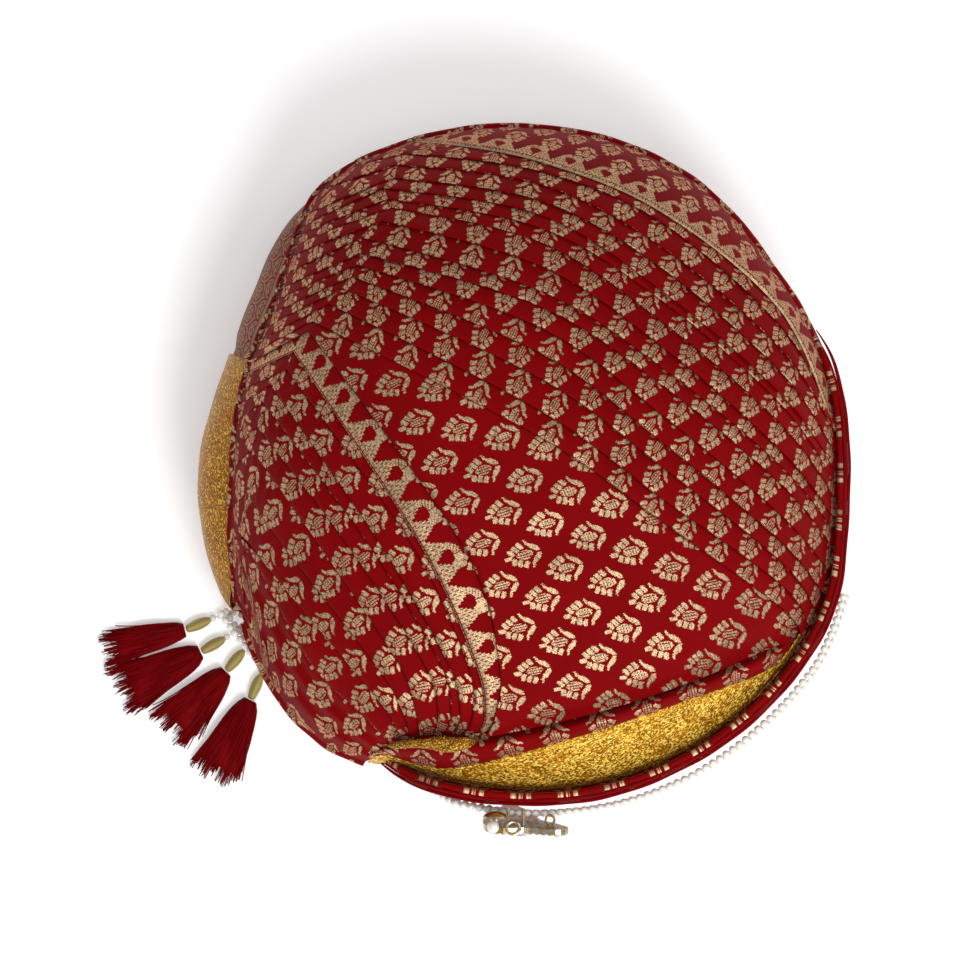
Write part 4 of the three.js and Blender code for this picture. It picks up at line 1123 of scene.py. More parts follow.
class Value:
    """A number that changes over the surface, as the output of shader nodes."""

    def __init__(self, tree, socket):
        self.tree, self.socket = tree, socket

    def math(self, operation, *others):
        node = self.tree.nodes.new("ShaderNodeMath")
        node.operation = operation
        for slot, item in zip(node.inputs, (self, *others)):
            if isinstance(item, Value):
                self.tree.links.new(item.socket, slot)
            else:
                slot.default_value = item
        return Value(self.tree, node.outputs[0])

    __add__, __sub__ = operation("ADD"), operation("SUBTRACT")
    __mul__, __truediv__ = operation("MULTIPLY"), operation("DIVIDE")
    __lt__, __gt__ = operation("LESS_THAN"), operation("GREATER_THAN")
    power, either, least = operation("POWER"), operation("MAXIMUM"), operation("MINIMUM")
    size, floor = operation("ABSOLUTE"), operation("FLOOR")
    share, sine = operation("FRACT"), operation("SINE")

    def __invert__(self):
        return (self * -1.0) + 1.0

    def nearest(self, pitch):
        """Distance from the nearest multiple of a pitch."""
        return self - (self / pitch).math("ROUND") * pitch


class Effect:
    """A node group in the making, with a vector input, named values and outputs."""

    def __init__(self, name, vector, outputs, **values):
        self.tree = bpy.data.node_groups.new(name, "ShaderNodeTree")
        new_socket = self.tree.interface.new_socket
        new_socket(vector, in_out="INPUT", socket_type="NodeSocketVector")
        for title, default in values.items():
            new_socket(title, in_out="INPUT", socket_type="NodeSocketFloat").default_value = default
        for title in outputs:
            new_socket(title, in_out="OUTPUT", socket_type="NodeSocketFloat")
        self.way_in = self.tree.nodes.new("NodeGroupInput")
        self.way_out = self.tree.nodes.new("NodeGroupOutput")

    def take(self, title):
        return Value(self.tree, self.way_in.outputs[title])

    def cloth(self):
        """The two coordinates of the place in the flat cloth, in millimetres."""
        parts = self.tree.nodes.new("ShaderNodeSeparateXYZ")
        self.tree.links.new(self.way_in.outputs["Cloth"], parts.inputs[0])
        return Value(self.tree, parts.outputs[0]), Value(self.tree, parts.outputs[1])

    def chance(self, *coordinates):
        """A random number for each place of one or two whole numbers."""
        joined = self.tree.nodes.new("ShaderNodeCombineXYZ")
        for slot, item in zip(joined.inputs, coordinates):
            self.tree.links.new(item.socket, slot)
        noise = self.tree.nodes.new("ShaderNodeTexWhiteNoise")
        noise.noise_dimensions = "2D"
        self.tree.links.new(joined.outputs[0], noise.inputs["Vector"])
        return Value(self.tree, noise.outputs["Value"])

    def noise(self, title, scale, detail=2.0):
        """A smooth noise over a vector input."""
        node = self.tree.nodes.new("ShaderNodeTexNoise")
        self.tree.links.new(self.way_in.outputs[title], node.inputs["Vector"])
        if isinstance(scale, Value):
            self.tree.links.new(scale.socket, node.inputs["Scale"])
        else:
            node.inputs["Scale"].default_value = scale
        node.inputs["Detail"].default_value = detail
        return Value(self.tree, node.outputs[0])

    def give(self, **results):
        for title, value in results.items():
            self.tree.links.new(value.socket, self.way_out.inputs[title])
        return self.tree


def lotus_buti(s, t, dt, ds):
    """A lotus in profile: two large petals with curled tips, a dotted heart and fanned leaflets.
    dt and ds are the distances from its middle across and along the column."""
    # Along the buti from where its large petals meet to its tip, and out from its axis
    ragged = (((s + t) / 1.2).share() - 0.5) * 0.45
    p = (dt * -1.0) + 8.0 + ragged
    q = ds.size() * 1.1
    round_edge = (p - 4.9).power(2.0) + q * q < 4.9**2
    inner_edge = p < (q * 1.05 + 1.15).least(q * 0.45 + 2.8)
    large = round_edge * inner_edge * (q > 0.32) * (q < 4.7)
    out = q - 4.4
    curl = ((p - 4.4 - out * 0.3).size() < (out * -0.16) + 0.75) * (q > 4.2) * (q < 7.0)
    heart = ((p - 6.9) / 3.4).power(2.0) + (q / 2.15).power(2.0)
    dots = ((p / 1.2).share() < 0.5) * (q.nearest(1.2).size() < 0.4) * (heart < 0.8)
    leaf_out = p * 0.47 + q * 0.88
    leaf_on = p * 0.88 - q * 0.47
    from_leaf = (leaf_on - 4.6).nearest(2.5)
    leaves = ((leaf_out - 7.8) / 1.7).power(4.0) + from_leaf.power(6.0) < 1.0
    leaves = leaves * (leaf_on > 3.3) * (leaf_on < 11.1)
    tip = ((p - 14.1) / 1.6).power(4.0) + q.power(4.0) < 1.0
    return large.either(curl).either((heart < 1.0) * ~dots).either(leaves).either(tip)


def temple_border(s, t):
    """A selvedge line, stepped triangles of brick dashes, and half a lotus over each second gap."""
    pitch = BUTI_PITCH / 2
    course = (t - TEMPLE_FOOT) / TEMPLE_STEP
    level = course.floor() * TEMPLE_STEP
    half = (~(level / TEMPLE_HEIGHT)) * (pitch / 2)
    from_axis = s.nearest(pitch).size()
    triangle = (from_axis < half) * (t > TEMPLE_FOOT) * (level < TEMPLE_HEIGHT)
    seams = (course.share() < 0.2).either((s / 2.3 + course.floor() * 0.5).share() < 0.16)
    filled = triangle * (~seams).either(half - from_axis < 0.5)
    # The arch stands from one apex to the next, its right half solid and its left half striped
    across = (s - pitch / 2 - pitch).nearest(BUTI_PITCH)
    rise = t - TEMPLE_HEIGHT
    outer = (across / 5.6).power(2.0) + (rise / 5.2).power(2.0) < 1.0
    inner = ((across + 0.3) / 2.8).power(2.0) + (rise / 1.6).power(2.0) > 1.0
    striped = ((t + s * 0.6) / 1.5).share() < 0.24
    arch = outer * inner * (rise > -0.6) * ~(striped * (across < -0.3)) * (across.size() > 0.25)
    guard = (t > 0.55) * (t < 1.0) * ((s / 1.9).share() < 0.66)
    selvedge = t.size() < 0.42
    return filled.either(arch).either(guard).either(selvedge)


def lotus_brocade():
    """Lotus butis in half-dropped columns beyond a border of stepped temple triangles."""
    effect = Effect("Lotus brocade", "Cloth", ["Gold", "Glint", "Hatch"], Thread=0.4)
    raw_s, raw_t = effect.cloth()
    thread = effect.take("Thread")
    s = (raw_s / thread).floor() * thread
    t = (raw_t / thread).floor() * thread
    # The buti whose middle is nearest, from two interleaved lattices
    options = []
    for side, lead in ((0.0, 0.0), (COLUMN_STEP, BUTI_PITCH / 2)):
        dt = (t - (FIELD_FROM + side)).nearest(2 * COLUMN_STEP)
        ds = (s - lead).nearest(BUTI_PITCH)
        options.append((dt, ds, dt * dt + ds * ds))
    (dt_a, ds_a, far_a), (dt_b, ds_b, far_b) = options
    other = far_b < far_a
    dt = dt_a + (dt_b - dt_a) * other
    ds = ds_a + (ds_b - ds_a) * other
    field = lotus_buti(s, t, dt, ds) * ((t - dt) > BORDER_END)
    gold = field.either(temple_border(s, t) * (t < BORDER_END) * (t > -0.6))
    # Long floats of the zari catch the light by turns
    hatch = ((raw_s - raw_t) / 1.3).share() < 0.36
    glint = effect.chance((raw_s / 0.9).floor(), (raw_t / 0.45).floor())
    return effect.give(Gold=gold, Glint=glint, Hatch=hatch)


def fold_shade():
    """Painted shade right under a folded edge, from the distance to the fold above: full within 0.45 mm,
    fading out over Reach.
    """
    effect = Effect("Fold shade", "Cloth", ["Shade"], Reach=1.2)
    away, _ = effect.cloth()
    near = ~(((away - 0.45) / effect.take("Reach")).either(0.0).least(1.0))
    return effect.give(Shade=near * near * 0.8)


def woven_threads():
    """The fine twill relief of a silk cloth, with slubs."""
    effect = Effect("Woven threads", "Cloth", ["Relief", "Shade"], Pitch=0.5)
    s, t = effect.cloth()
    pitch = effect.take("Pitch")
    twill = ((s + t * 0.5) / pitch * WHOLE_TURN).sine() * 0.5 + 0.5
    across = (t / pitch * WHOLE_TURN).sine() * 0.5 + 0.5
    slub = effect.noise("Cloth", 0.35, 3.0)
    return effect.give(Relief=twill * 0.6 + across * 0.4, Shade=slub)


def soft_variation():
    """Slow uneven tone over a surface, from the object's own coordinates."""
    effect = Effect("Soft variation", "Place", ["Tone", "Fine"], Scale=40.0)
    scale = effect.take("Scale")
    return effect.give(Tone=effect.noise("Place", scale, 3.0), Fine=effect.noise("Place", scale * 9.0, 2.0))


def tissue_glitter():
    """Crinkled metallic tissue: short flat weft floats that each catch the light their own way."""
    effect = Effect("Tissue glitter", "Cloth", ["Spark", "Shade", "Relief"], Float=0.8)
    s, t = effect.cloth()
    length = effect.take("Float")
    wander = effect.noise("Cloth", 0.9, 3.0)
    row = (t / (length * 0.62) + wander * 2.4).floor()
    place = (s / length + wander * 3.2 + row * 0.37).floor()
    # A random number for each float, by which the finish paints it dark or bright; it also raises the float's
    # relief
    painted_glint = effect.chance(place, row)
    coarse = effect.noise("Cloth", 0.16, 4.0)
    fine = effect.noise("Cloth", 1.7, 2.0)
    return effect.give(Spark=painted_glint, Shade=coarse, Relief=painted_glint * 0.6 + fine * 0.7)


def gold_scroll():
    """A dense floral scroll with a plain stripe and a beaded row along the cloth's folded edge."""
    effect = Effect("Gold scroll", "Cloth", ["Gold", "Relief"], Motif=11.0)
    s, t = effect.cloth()
    motif = effect.take("Motif")
    # Flower heads on a staggered lattice, with curling stems between them
    row = (t / motif).floor()
    a = (s / motif + row * 0.5).share() - 0.5
    b = (t / motif).share() - 0.5
    radius = (a * a + b * b).power(0.5)
    turn = b.math("ARCTAN2", a)
    lobes = (turn * 6.0).sine() * 0.05 + 0.33
    flower = (radius < lobes) * ((radius - 0.2).size() > 0.03) * (radius > 0.07)
    curl = ((radius * 30.0 - turn).sine() > 0.1) * (radius > 0.36)
    depth = t.size()
    stripe = (depth > 2.2) * (depth < 5.2)
    beads = ((s / 2.0).share() - 0.5).power(2.0) + ((depth - 1.1) / 2.0).power(2.0) < 0.11
    gold = flower.either(curl) * ~(depth < 5.9)
    relief = ((s + t) / 0.6 * WHOLE_TURN).sine() * 0.5 + 0.5
    return effect.give(Gold=gold.either(stripe).either(beads), Relief=relief)


def rim_dashes():
    """Short thin gold dashes along stretches of a folded edge, in a line on each side of it."""
    effect = Effect("Rim dashes", "Cloth", ["Gold"], Dash=2.6)
    s, t = effect.cloth()
    line = (t.size() - 1.0).size() < 0.2
    stretch = effect.noise("Cloth", 0.06, 1.0) > 0.54
    return effect.give(Gold=((s / effect.take("Dash")).share() < 0.6) * line * stretch)


EFFECTS = {}


def effect(maker):
    """The node group of an effect, built once."""
    if maker.__name__ not in EFFECTS:
        EFFECTS[maker.__name__] = maker()
    return EFFECTS[maker.__name__]


class Finish:
    """A material around one Principled shader."""

    def __init__(self, name, **constants):
        self.material = bpy.data.materials.new(name)
        self.material.use_nodes = True
        self.tree = self.material.node_tree
        self.shader = self.tree.nodes["Principled BSDF"]
        for title, value in constants.items():
            self.shader.inputs[title.replace("_", " ")].default_value = value

    def cloth(self, layer="cloth"):
        node = self.tree.nodes.new("ShaderNodeUVMap")
        node.uv_map = layer
        return node.outputs[0]

    def place(self):
        return self.tree.nodes.new("ShaderNodeTexCoord").outputs["Object"]

    def use(self, maker, source, **values):
        node = self.tree.nodes.new("ShaderNodeGroup")
        node.node_tree = effect(maker)
        self.tree.links.new(source, node.inputs[0])
        for title, value in values.items():
            node.inputs[title].default_value = value
        return {socket.name: Value(self.tree, socket) for socket in node.outputs}

    def blend(self, amount, low, high):
        """A colour between two, each a fixed colour or another colour's socket."""
        node = self.tree.nodes.new("ShaderNodeMix")
        node.data_type = "RGBA"
        for slot, item in ((0, amount), (6, low), (7, high)):
            if isinstance(item, Value):
                self.tree.links.new(item.socket, node.inputs[slot])
            elif isinstance(item, bpy.types.NodeSocket):
                self.tree.links.new(item, node.inputs[slot])
            elif slot == 0:
                node.inputs[slot].default_value = item
            else:
                node.inputs[slot].default_value = (*item[:3], 1)
        return node.outputs[2]

    def feed(self, title, source):
        self.tree.links.new(source.socket if isinstance(source, Value) else source, self.shader.inputs[title])

    def bump(self, height, distance):
        node = self.tree.nodes.new("ShaderNodeBump")
        node.inputs["Distance"].default_value = distance
        self.tree.links.new(height.socket, node.inputs["Height"])
        self.tree.links.new(node.outputs[0], self.shader.inputs["Normal"])


def shade(colour, amount):
    return tuple(part * amount for part in colour[:3])


def varied(finish, amount, colour, low, high):
    """A colour that moves between two strengths of itself."""
    return finish.blend(amount, shade(colour, low), shade(colour, high))


SILK = {"Specular_IOR_Level": 0.07, "Specular_Tint": (1.0, 0.25, 0.25, 1.0)}


def brocade_finish(colours, sizes):
    finish = Finish("crimson lotus brocade", **SILK)
    cloth = finish.cloth()
    lotus = finish.use(lotus_brocade, cloth, Thread=sizes.thread / MM)
    weave = finish.use(woven_threads, cloth, Pitch=0.55)
    tone = finish.use(soft_variation, finish.place(), Scale=26.0)
    red = varied(finish, tone["Tone"], colours.crimson, 0.75, 1.2)
    red = finish.blend(weave["Shade"] * 0.4, red, shade(colours.crimson, 0.62))
    # Painted glints: each zari float's colour runs from 0.65 to 1.9 times the zari colour by its random
    # Glint, for the light that the floats catch by turns
    zari = varied(finish, lotus["Glint"], colours.zari, 0.65, 1.9)
    zari = finish.blend(lotus["Hatch"] * 0.4, zari, shade(colours.zari, 0.5))
    woven = finish.blend(lotus["Gold"], red, zari)
    # Painted shade: the woven colour is blended towards black, by up to 0.8, right under each fold above, by
    # the distance in the tuck layer
    under = finish.use(fold_shade, finish.cloth("tuck"), Reach=1.2)["Shade"]
    finish.feed("Base Color", finish.blend(under, woven, (0, 0, 0)))
    finish.feed("Metallic", lotus["Gold"] * 0.6)
    gloss = lotus["Gold"] * ((lotus["Glint"] * 0.2) - 0.36)
    finish.feed("Roughness", gloss + (tone["Fine"] * 0.12 + 0.55))
    raised = weave["Relief"] * 0.5 + lotus["Gold"] * 1.2
    finish.bump(raised + lotus["Hatch"] * lotus["Gold"] * -0.4, 0.00012)
    return finish.material


def rim_finish(name, colours, dashed):
    finish = Finish(name, **SILK)
    cloth = finish.cloth()
    dashes = finish.use(rim_dashes, cloth, Dash=1.0)
    gold = dashes["Gold"] * dashed
    weave = finish.use(woven_threads, cloth, Pitch=0.55)
    tone = finish.use(soft_variation, finish.place(), Scale=60.0)
    red = varied(finish, tone["Tone"], colours.crimson, 0.65, 1.2)
    zari = varied(finish, weave["Shade"], colours.zari, 0.7, 1.3)
    finish.feed("Base Color", finish.blend(gold, red, zari))
    finish.feed("Metallic", gold * 0.5)
    finish.feed("Roughness", tone["Fine"] * 0.15 + 0.5)
    finish.bump(weave["Relief"] + gold, 0.0001)
    return finish.material


def tissue_finish(name, colours, colour, length, bright):
    """Metallic tissue with painted glitter: its floats are painted dark, mid or bright in turn. bright: share
    of floats painted bright.
    """
    finish = Finish(name, Specular_IOR_Level=0.3)
    cloth = finish.cloth()
    glitter = finish.use(tissue_glitter, cloth, Float=length)
    tone = finish.use(soft_variation, finish.place(), Scale=45.0)
    base = varied(finish, tone["Tone"], colour, 0.75, 1.25)
    # Painted shade: floats whose random number is under 0.32 are darkened towards a quarter of the colour, as
    # floats turned away from the light
    dark = (glitter["Spark"] < 0.32) * 0.8
    base = finish.blend(dark, base, shade(colour, 0.25))
    # Painted highlights: floats are painted towards the bright glint colour, more of them where the coarse
    # noise is high, and made less metallic
    light = glitter["Spark"] > (~(glitter["Shade"] * (2 * bright)))
    finish.feed("Base Color", finish.blend(light * 0.85, base, colours.painted_glint))
    finish.feed("Metallic", (light * -0.25) + 0.6)
    finish.feed("Roughness", glitter["Spark"] * 0.3 + 0.25)
    finish.bump(glitter["Relief"], 0.0004)
    return finish.material


def scroll_finish(colours):
    finish = Finish("gold scroll brocade", Specular_IOR_Level=0.15)
    cloth = finish.cloth()
    scroll = finish.use(gold_scroll, cloth, Motif=10.5)
    weave = finish.use(woven_threads, cloth, Pitch=0.6)
    red = varied(finish, weave["Shade"], colours.crimson, 0.8, 1.3)
    dull = varied(finish, weave["Shade"], colours.zari, 0.62, 0.95)
    finish.feed("Base Color", finish.blend(scroll["Gold"] * 0.9, red, dull))
    finish.feed("Metallic", scroll["Gold"] * 0.35)
    finish.feed("Roughness", weave["Shade"] * 0.2 + 0.45)
    finish.bump(scroll["Relief"] * scroll["Gold"] + scroll["Gold"], 0.00012)
    return finish.material


def toned_finish(name, colour, scale, mix, strengths, rough, metal=None, relief=0.0, **constants):
    """A finish whose colour and gloss vary softly. mix names the noise that moves the colour between
    its two strengths. rough and metal are a noise, what it is multiplied by and what is added."""
    finish = Finish(name, **constants)
    tone = finish.use(soft_variation, finish.place(), Scale=scale)
    finish.feed("Base Color", varied(finish, tone[mix], colour, *strengths))
    for socket, follows in (("Roughness", rough), ("Metallic", metal)):
        if follows:
            noise, times, plus = follows
            finish.feed(socket, tone[noise] * times + plus)
    if relief:
        finish.bump(tone["Fine"], relief)
    return finish.material


def metal_finish(colours):
    finish = Finish("silver plate over brass", Metallic=1.0)
    tone = finish.use(soft_variation, finish.place(), Scale=300.0)
    worn = (tone["Tone"] - 0.44) * 6.0
    worn = worn.either(0.0).least(1.0)
    silver = finish.blend(tone["Fine"], shade(colours.silver, 0.75), colours.silver)
    finish.feed("Base Color", finish.blend(worn, silver, colours.brass))
    finish.feed("Roughness", tone["Fine"] * 0.22 + 0.14)
    finish.bump(tone["Fine"], 0.00008)
    return finish.material


def stone_finish(colours):
    finish = Finish("clear cut glass", Transmission_Weight=0.4, IOR=1.6)
    tone = finish.use(soft_variation, finish.place(), Scale=500.0)
    finish.feed("Base Color", varied(finish, (tone["Fine"] - 0.42) * 5.0, colours.stone, 0.22, 1.0))
    finish.feed("Roughness", tone["Fine"] * 0.05 + 0.01)
    return finish.material


# What a user sets

def colour_setting(name, description, default):
    return bpy.props.FloatVectorProperty(
        name=name, description=description, default=default, size=3, subtype="COLOR", min=0, max=1
    )


def length_setting(name, description, default, low, high):
    return bpy.props.FloatProperty(
        name=name, description=description, default=default, min=low, max=high,
        subtype="DISTANCE", unit="LENGTH",
    )


class PagriSizes(bpy.types.PropertyGroup):
    """Sizes that a maker would change."""

    fold_height: length_setting("Fold height", "How far a pleat's edge stands up", 0.0021, 0.001, 0.003)
    thread: length_setting("Thread step", "Step of the woven pattern's edges", 0.0004, 0.0003, 0.001)
    pearl: length_setting("Pearl", "Diameter of the small pearls", 0.0034, 0.0028, 0.0036)
    stone: length_setting("Stone", "Diameter of the brooch's small stones", 0.0022, 0.0016, 0.003)
    strands: bpy.props.IntProperty(
        name="Tassel strands", description="Strands in each tassel", default=260, min=60, max=500
    )


class PagriColours(bpy.types.PropertyGroup):
    """Colours of the finishes."""

    crimson: colour_setting("Crimson", "The brocade's silk ground", (0.2, 0.0016, 0.0028))
    zari: colour_setting("Zari", "The woven gold of the butis", (0.36, 0.25, 0.145))
    tissue: colour_setting("Front tissue", "The glittering tissue at the front", (0.58, 0.25, 0.006))
    side: colour_setting("Side tissue", "The ochre tissue at the left", (0.40, 0.145, 0.003))
    # Painted highlight colour of the tissue's brightest floats
    painted_glint: colour_setting("Spark", "The tissue's brightest floats", (1.0, 0.72, 0.13))
    pearl: colour_setting("Pearl", "The small pearls", (0.80, 0.78, 0.72))
    silver: colour_setting("Silver", "The brooch's plate", (0.56, 0.50, 0.40))
    brass: colour_setting("Brass", "The brooch's worn and gold-toned places", (0.46, 0.27, 0.07))
    stone: colour_setting("Stones", "The brooch's clear stones", (0.97, 0.97, 0.97))
    thread: colour_setting("Bead thread", "The thread wound round the tassel beads", (0.36, 0.28, 0.085))
    silk: colour_setting("Tassel silk", "The tassels' strands", (0.13, 0.0007, 0.002))
    floor: colour_setting("Floor", "The surface under the turban", (0.96, 0.96, 0.96))


FINISHES = {}


def finish_of(title, context):
    """A material by its plain title, made on first use from the user's colours and sizes."""
    colours, sizes = context.scene.pagri_colours, context.scene.pagri_sizes
    makers = {
        "brocade": lambda: brocade_finish(colours, sizes),
        "rim": lambda: rim_finish("crimson rim fold", colours, 0.0),
        "dashed rim": lambda: rim_finish("crimson rim fold with gold dashes", colours, 0.5),
        "tissue": lambda: tissue_finish("glittering gold tissue", colours, colours.tissue, 0.8, 0.3),
        "side": lambda: tissue_finish("ochre gold tissue", colours, colours.side, 0.55, 0.12),
        "loop": lambda: tissue_finish("rolled gold tissue", colours, shade(colours.side, 0.9), 0.4, 0.14),
        "scroll": lambda: scroll_finish(colours),
        "pearl": lambda: toned_finish(
            "nacreous pearl", colours.pearl, 420.0, "Tone", (0.8, 1.1), ("Fine", 0.15, 0.16), None, 0.00004,
            Coat_Weight=0.5, Coat_Roughness=0.08, Subsurface_Weight=0.12, Subsurface_Scale=0.002,
        ),
        "metal": lambda: metal_finish(colours),
        "stone": lambda: stone_finish(colours),
        "wound": lambda: toned_finish(
            "wound gold thread", colours.thread, 260.0, "Fine", (0.6, 1.35), ("Fine", 0.3, 0.3),
            ("Tone", 0.4, 0.2), 0.0001, Specular_IOR_Level=0.5,
        ),
        "silk": lambda: toned_finish(
            "dark red tassel silk", colours.silk, 180.0, "Fine", (0.55, 1.7), ("Tone", 0.25, 0.38), None,
            0.0001, Specular_IOR_Level=0.12, Specular_Tint=(1.0, 0.2, 0.2, 1.0),
        ),
        "floor": lambda: toned_finish(
            "pale matt floor", colours.floor, 3.0, "Tone", (0.995, 1.0), ("Fine", 0.1, 0.8),
            Specular_IOR_Level=0.2, Emission_Color=(1, 1, 1, 1), Emission_Strength=0.22,
        ),
    }
    if title not in FINISHES:
        FINISHES[title] = makers[title]()
    return FINISHES[title]


# One operator for each group of pieces

CAMERA_LENS = 178.5
CAMERA_AT = (-13.8, -9.9, 2200)
FLOOR_HALF = 3.0
ROOM_STRENGTH = 0.45
LIT_PLACE = (0, 0, 0.06)
Lamp = namedtuple("Lamp", "name at width power")
LAMPS = rows(Lamp, [
    ("key", (0.6, -1.15, 1.95), 0.9, 28.0), ("front", (0.4, -1.9, 1.7), 1.4, 10.0),
    ("right", (1.9, 0.5, 1.6), 1.4, 8.0), ("overhead", (0.0, 0.0, 2.9), 1.2, 12.0),
])


class PAGRI_OT_stage(bpy.types.Operator):
    """Set the floor, the soft light and the camera straight above"""

    bl_idname = "pagri.stage"
    bl_label = "Stage"

    def execute(self, context):
        scene = context.scene
        camera = bpy.data.objects.new("Camera", bpy.data.cameras.new("Camera"))
        camera.data.lens = CAMERA_LENS
        camera.data.sensor_fit = "HORIZONTAL"
        camera.data.sensor_width = 36
        camera.data.clip_end = 20
        camera.location = metres(CAMERA_AT)
        scene.collection.objects.link(camera)
        scene.camera = camera

        corners = [(x * FLOOR_HALF, y * FLOOR_HALF, 0) for x, y in ((-1, -1), (1, -1), (1, 1), (-1, 1))]
        new_object("floor", corners, [(0, 1, 2, 3)], finish_of("floor", context))

        for row in LAMPS:
            light = bpy.data.lights.new(row.name, "AREA")
            light.shape = "DISK"
            light.size = row.width
            light.energy = row.power
            lamp = bpy.data.objects.new(row.name, light)
            lamp.location = row.at
            down = Vector(LIT_PLACE) - lamp.location
            lamp.rotation_euler = down.to_track_quat("-Z", "Y").to_euler()
            scene.collection.objects.link(lamp)
        world = bpy.data.worlds.new("soft room")
        world.use_nodes = True
        room = world.node_tree.nodes["Background"]
        room.inputs["Color"].default_value = (1, 1, 1, 1)
        room.inputs["Strength"].default_value = ROOM_STRENGTH
        scene.world = world
        scene.view_settings.view_transform = "Standard"
        return {"FINISHED"}


class PAGRI_OT_crown(bpy.types.Operator):
    """Lay the crown's pleats, the open field of butis, the outer band and the rolled hem"""

    bl_idname = "pagri.crown"
    bl_label = "Crown"

    def execute(self, context):
        size = context.scene.pagri_sizes.fold_height / MM
        brocade = finish_of("brocade", context)
        made = {
            "outer_band_cloth": ("crown_outer_band", outer_band(size)),
            "back_pleats_cloth": ("crown_back_pleats", back_pleats(size)),
            "plain_panel_cloth": ("crown_plain_panel", plain_panel(size)),
            "front_pleats_cloth": ("crown_front_pleats", front_pleats(size)),
            "hem_roll_cloth": ("crown_hem_roll", hem_roll()),
        }
        for name, (node, sheet) in made.items():
            piece = seat(sheet.build(name, brocade), "red_brocade", node)
        return {"FINISHED"}


class PAGRI_OT_wall(bpy.types.Operator):
    """Wind the wall's four bands of brocade round the head opening"""

    bl_idname = "pagri.wall"
    bl_label = "Wall"

    def execute(self, context):
        for i, (low, high) in enumerate(WRAPS):
            sheet = wall_wrap(low, high, i + 1)
            piece = sheet.build(f"wall_wrap_{i + 1}_cloth", finish_of("brocade", context))
            seat(piece, "red_brocade", f"wall_wrap_{i + 1}")
        return {"FINISHED"}


class PAGRI_OT_bands(bpy.types.Operator):
    """Fold the rim's thin layers and the gold and brocade bands at the left"""

    bl_idname = "pagri.bands"
    bl_label = "Rim folds and side bands"

    def execute(self, context):
        for name, band, finish, slot, slopes in (
            ("rim_fold_inner", RIM_INNER, "rim", "rim_piping", (8, 10)),
            ("rim_fold_outer", RIM_OUTER, "dashed rim", "rim_piping", (8, 10)),
            ("side_band_gold", SIDE_GOLD, "side", "gold_tissue", (0.01, 9)),
            ("side_band_brocade", SIDE_BROCADE, "scroll", "zari_brocade", (0.01, 0.01)),
        ):
            tucks_at = 155 if name == "side_band_brocade" else None
            sheet = wall_band(band, len(name), slopes, tucks_at)
            piece = sheet.build(f"{name}_cloth", finish_of(finish, context))
            seat(piece, slot, name)
        return {"FINISHED"}


class PAGRI_OT_tissue(bpy.types.Operator):
    """Lay the gold tissue behind the front rim and bind the pleats with the gold loop"""

    bl_idname = "pagri.tissue"
    bl_label = "Gold tissue and loop"

    def execute(self, context):
        for name, sheet, finish, rests_on, held in (
            ("front_tissue", front_tissue(), "tissue", "wall_wrap_4_cloth", "stretched"),
            ("gold_loop", gold_loop(), "loop", "front_pleats_cloth", "folded"),
        ):
            piece = seat(sheet.build(f"{name}_cloth", finish_of(finish, context)), "gold_tissue", name)
        return {"FINISHED"}


class PAGRI_OT_pearls(bpy.types.Operator):
    """String the small pearls along the rim"""

    bl_idname = "pagri.pearls"
    bl_label = "Pearl strings"

    def execute(self, context):
        size = context.scene.pagri_sizes.pearl / MM
        for name, upper, seed in (("upper", True, 3), ("lower", False, 4)):
            solid = Solid()
            strung(solid, string_path(upper), size, seed)
            piece = solid.build(f"pearls_{name}", finish_of("pearl", context))
            seat(piece, "pearl", f"pearl_strand_{name}")
        return {"FINISHED"}


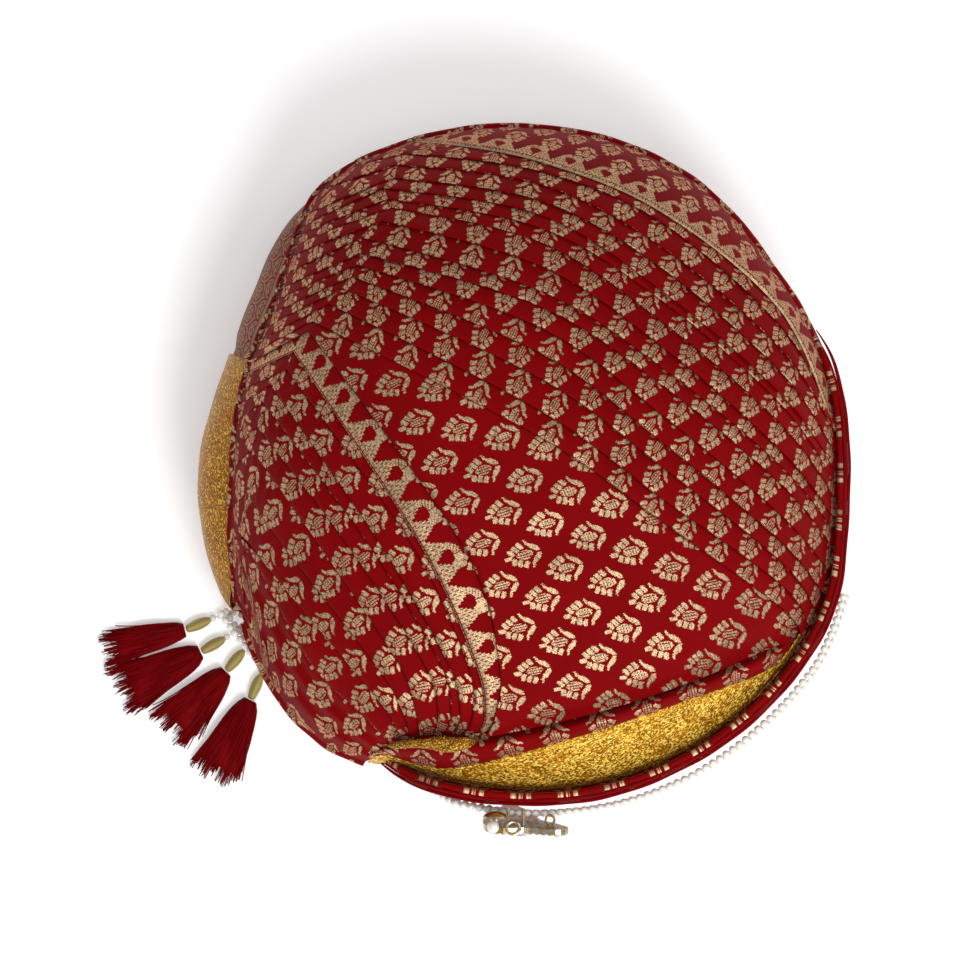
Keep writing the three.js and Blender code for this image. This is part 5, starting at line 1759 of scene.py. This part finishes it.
class PAGRI_OT_tassels(bpy.types.Operator):
    """Hang the four tassels, each with its pearls, wound bead and silk skirt"""

    bl_idname = "pagri.tassels"
    bl_label = "Tassels"

    def execute(self, context):
        sizes = context.scene.pagri_sizes
        for i, row in enumerate(TASSELS, start=1):
            pearls, bead, skirt = Solid(), Solid(), Solid()
            strung(pearls, tassel_path(row, sizes.pearl / MM), sizes.pearl / MM, i)
            wound_bead(bead, row)
            silk_skirt(skirt, row, sizes.strands, i)
            for name, solid, finish, slot in (
                ("string", pearls, "pearl", "pearl"),
                ("bead", bead, "wound", "gold_thread"),
                ("skirt", skirt, "silk", "tassel_silk"),
            ):
                piece = solid.build(f"tassel_{i}_{name}", finish_of(finish, context))
                seat(piece, slot, f"tassel_{name}_{i}")
        return {"FINISHED"}


class PAGRI_OT_brooch(bpy.types.Operator):
    """Finish the brooch and set its stones"""

    bl_idname = "pagri.brooch"
    bl_label = "Brooch"

    def execute(self, context):
        for node, finish in (("brooch_plate", "metal"), ("brooch_pearl", "pearl")):
            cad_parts[node].material_slots[0].material = finish_of(finish, context)
        size = context.scene.pagri_sizes.stone / MM
        stones, collets = Solid(), Solid()
        for stone in brooch_stones(size):
            cut_stone(stones, stone)
            collet(collets, stone)
        seat(stones.build("brooch_stones", finish_of("stone", context), flat=True), "brooch_metal")
        seat(collets.build("brooch_collets", finish_of("metal", context)), "brooch_metal")
        return {"FINISHED"}


OPERATORS = (
    PAGRI_OT_stage, PAGRI_OT_crown, PAGRI_OT_wall, PAGRI_OT_bands,
    PAGRI_OT_tissue, PAGRI_OT_pearls, PAGRI_OT_tassels, PAGRI_OT_brooch,
)


class PAGRI_PT_pieces(bpy.types.Panel):
    """The pagri's settings and the buttons that build its pieces"""

    bl_idname = "PAGRI_PT_pieces"
    bl_label = "Tied turban pagri"
    bl_space_type = "VIEW_3D"
    bl_region_type = "UI"
    bl_category = "Pagri"

    def draw(self, context):
        layout = self.layout
        for settings in (context.scene.pagri_sizes, context.scene.pagri_colours):
            box = layout.box()
            for name in settings.__annotations__:
                box.prop(settings, name)
        for operator in OPERATORS:
            layout.operator(operator.bl_idname)


CLASSES = (PagriSizes, PagriColours, *OPERATORS, PAGRI_PT_pieces)


def register():
    for item in CLASSES:
        bpy.utils.register_class(item)
    bpy.types.Scene.pagri_sizes = bpy.props.PointerProperty(type=PagriSizes)
    bpy.types.Scene.pagri_colours = bpy.props.PointerProperty(type=PagriColours)


def unregister():
    del bpy.types.Scene.pagri_colours
    del bpy.types.Scene.pagri_sizes
    for item in reversed(CLASSES):
        bpy.utils.unregister_class(item)


def main():
    register()
    for operator in OPERATORS:
        group, name = operator.bl_idname.split(".")
        getattr(getattr(bpy.ops, group), name)()


if __name__ == "__main__":
    main()
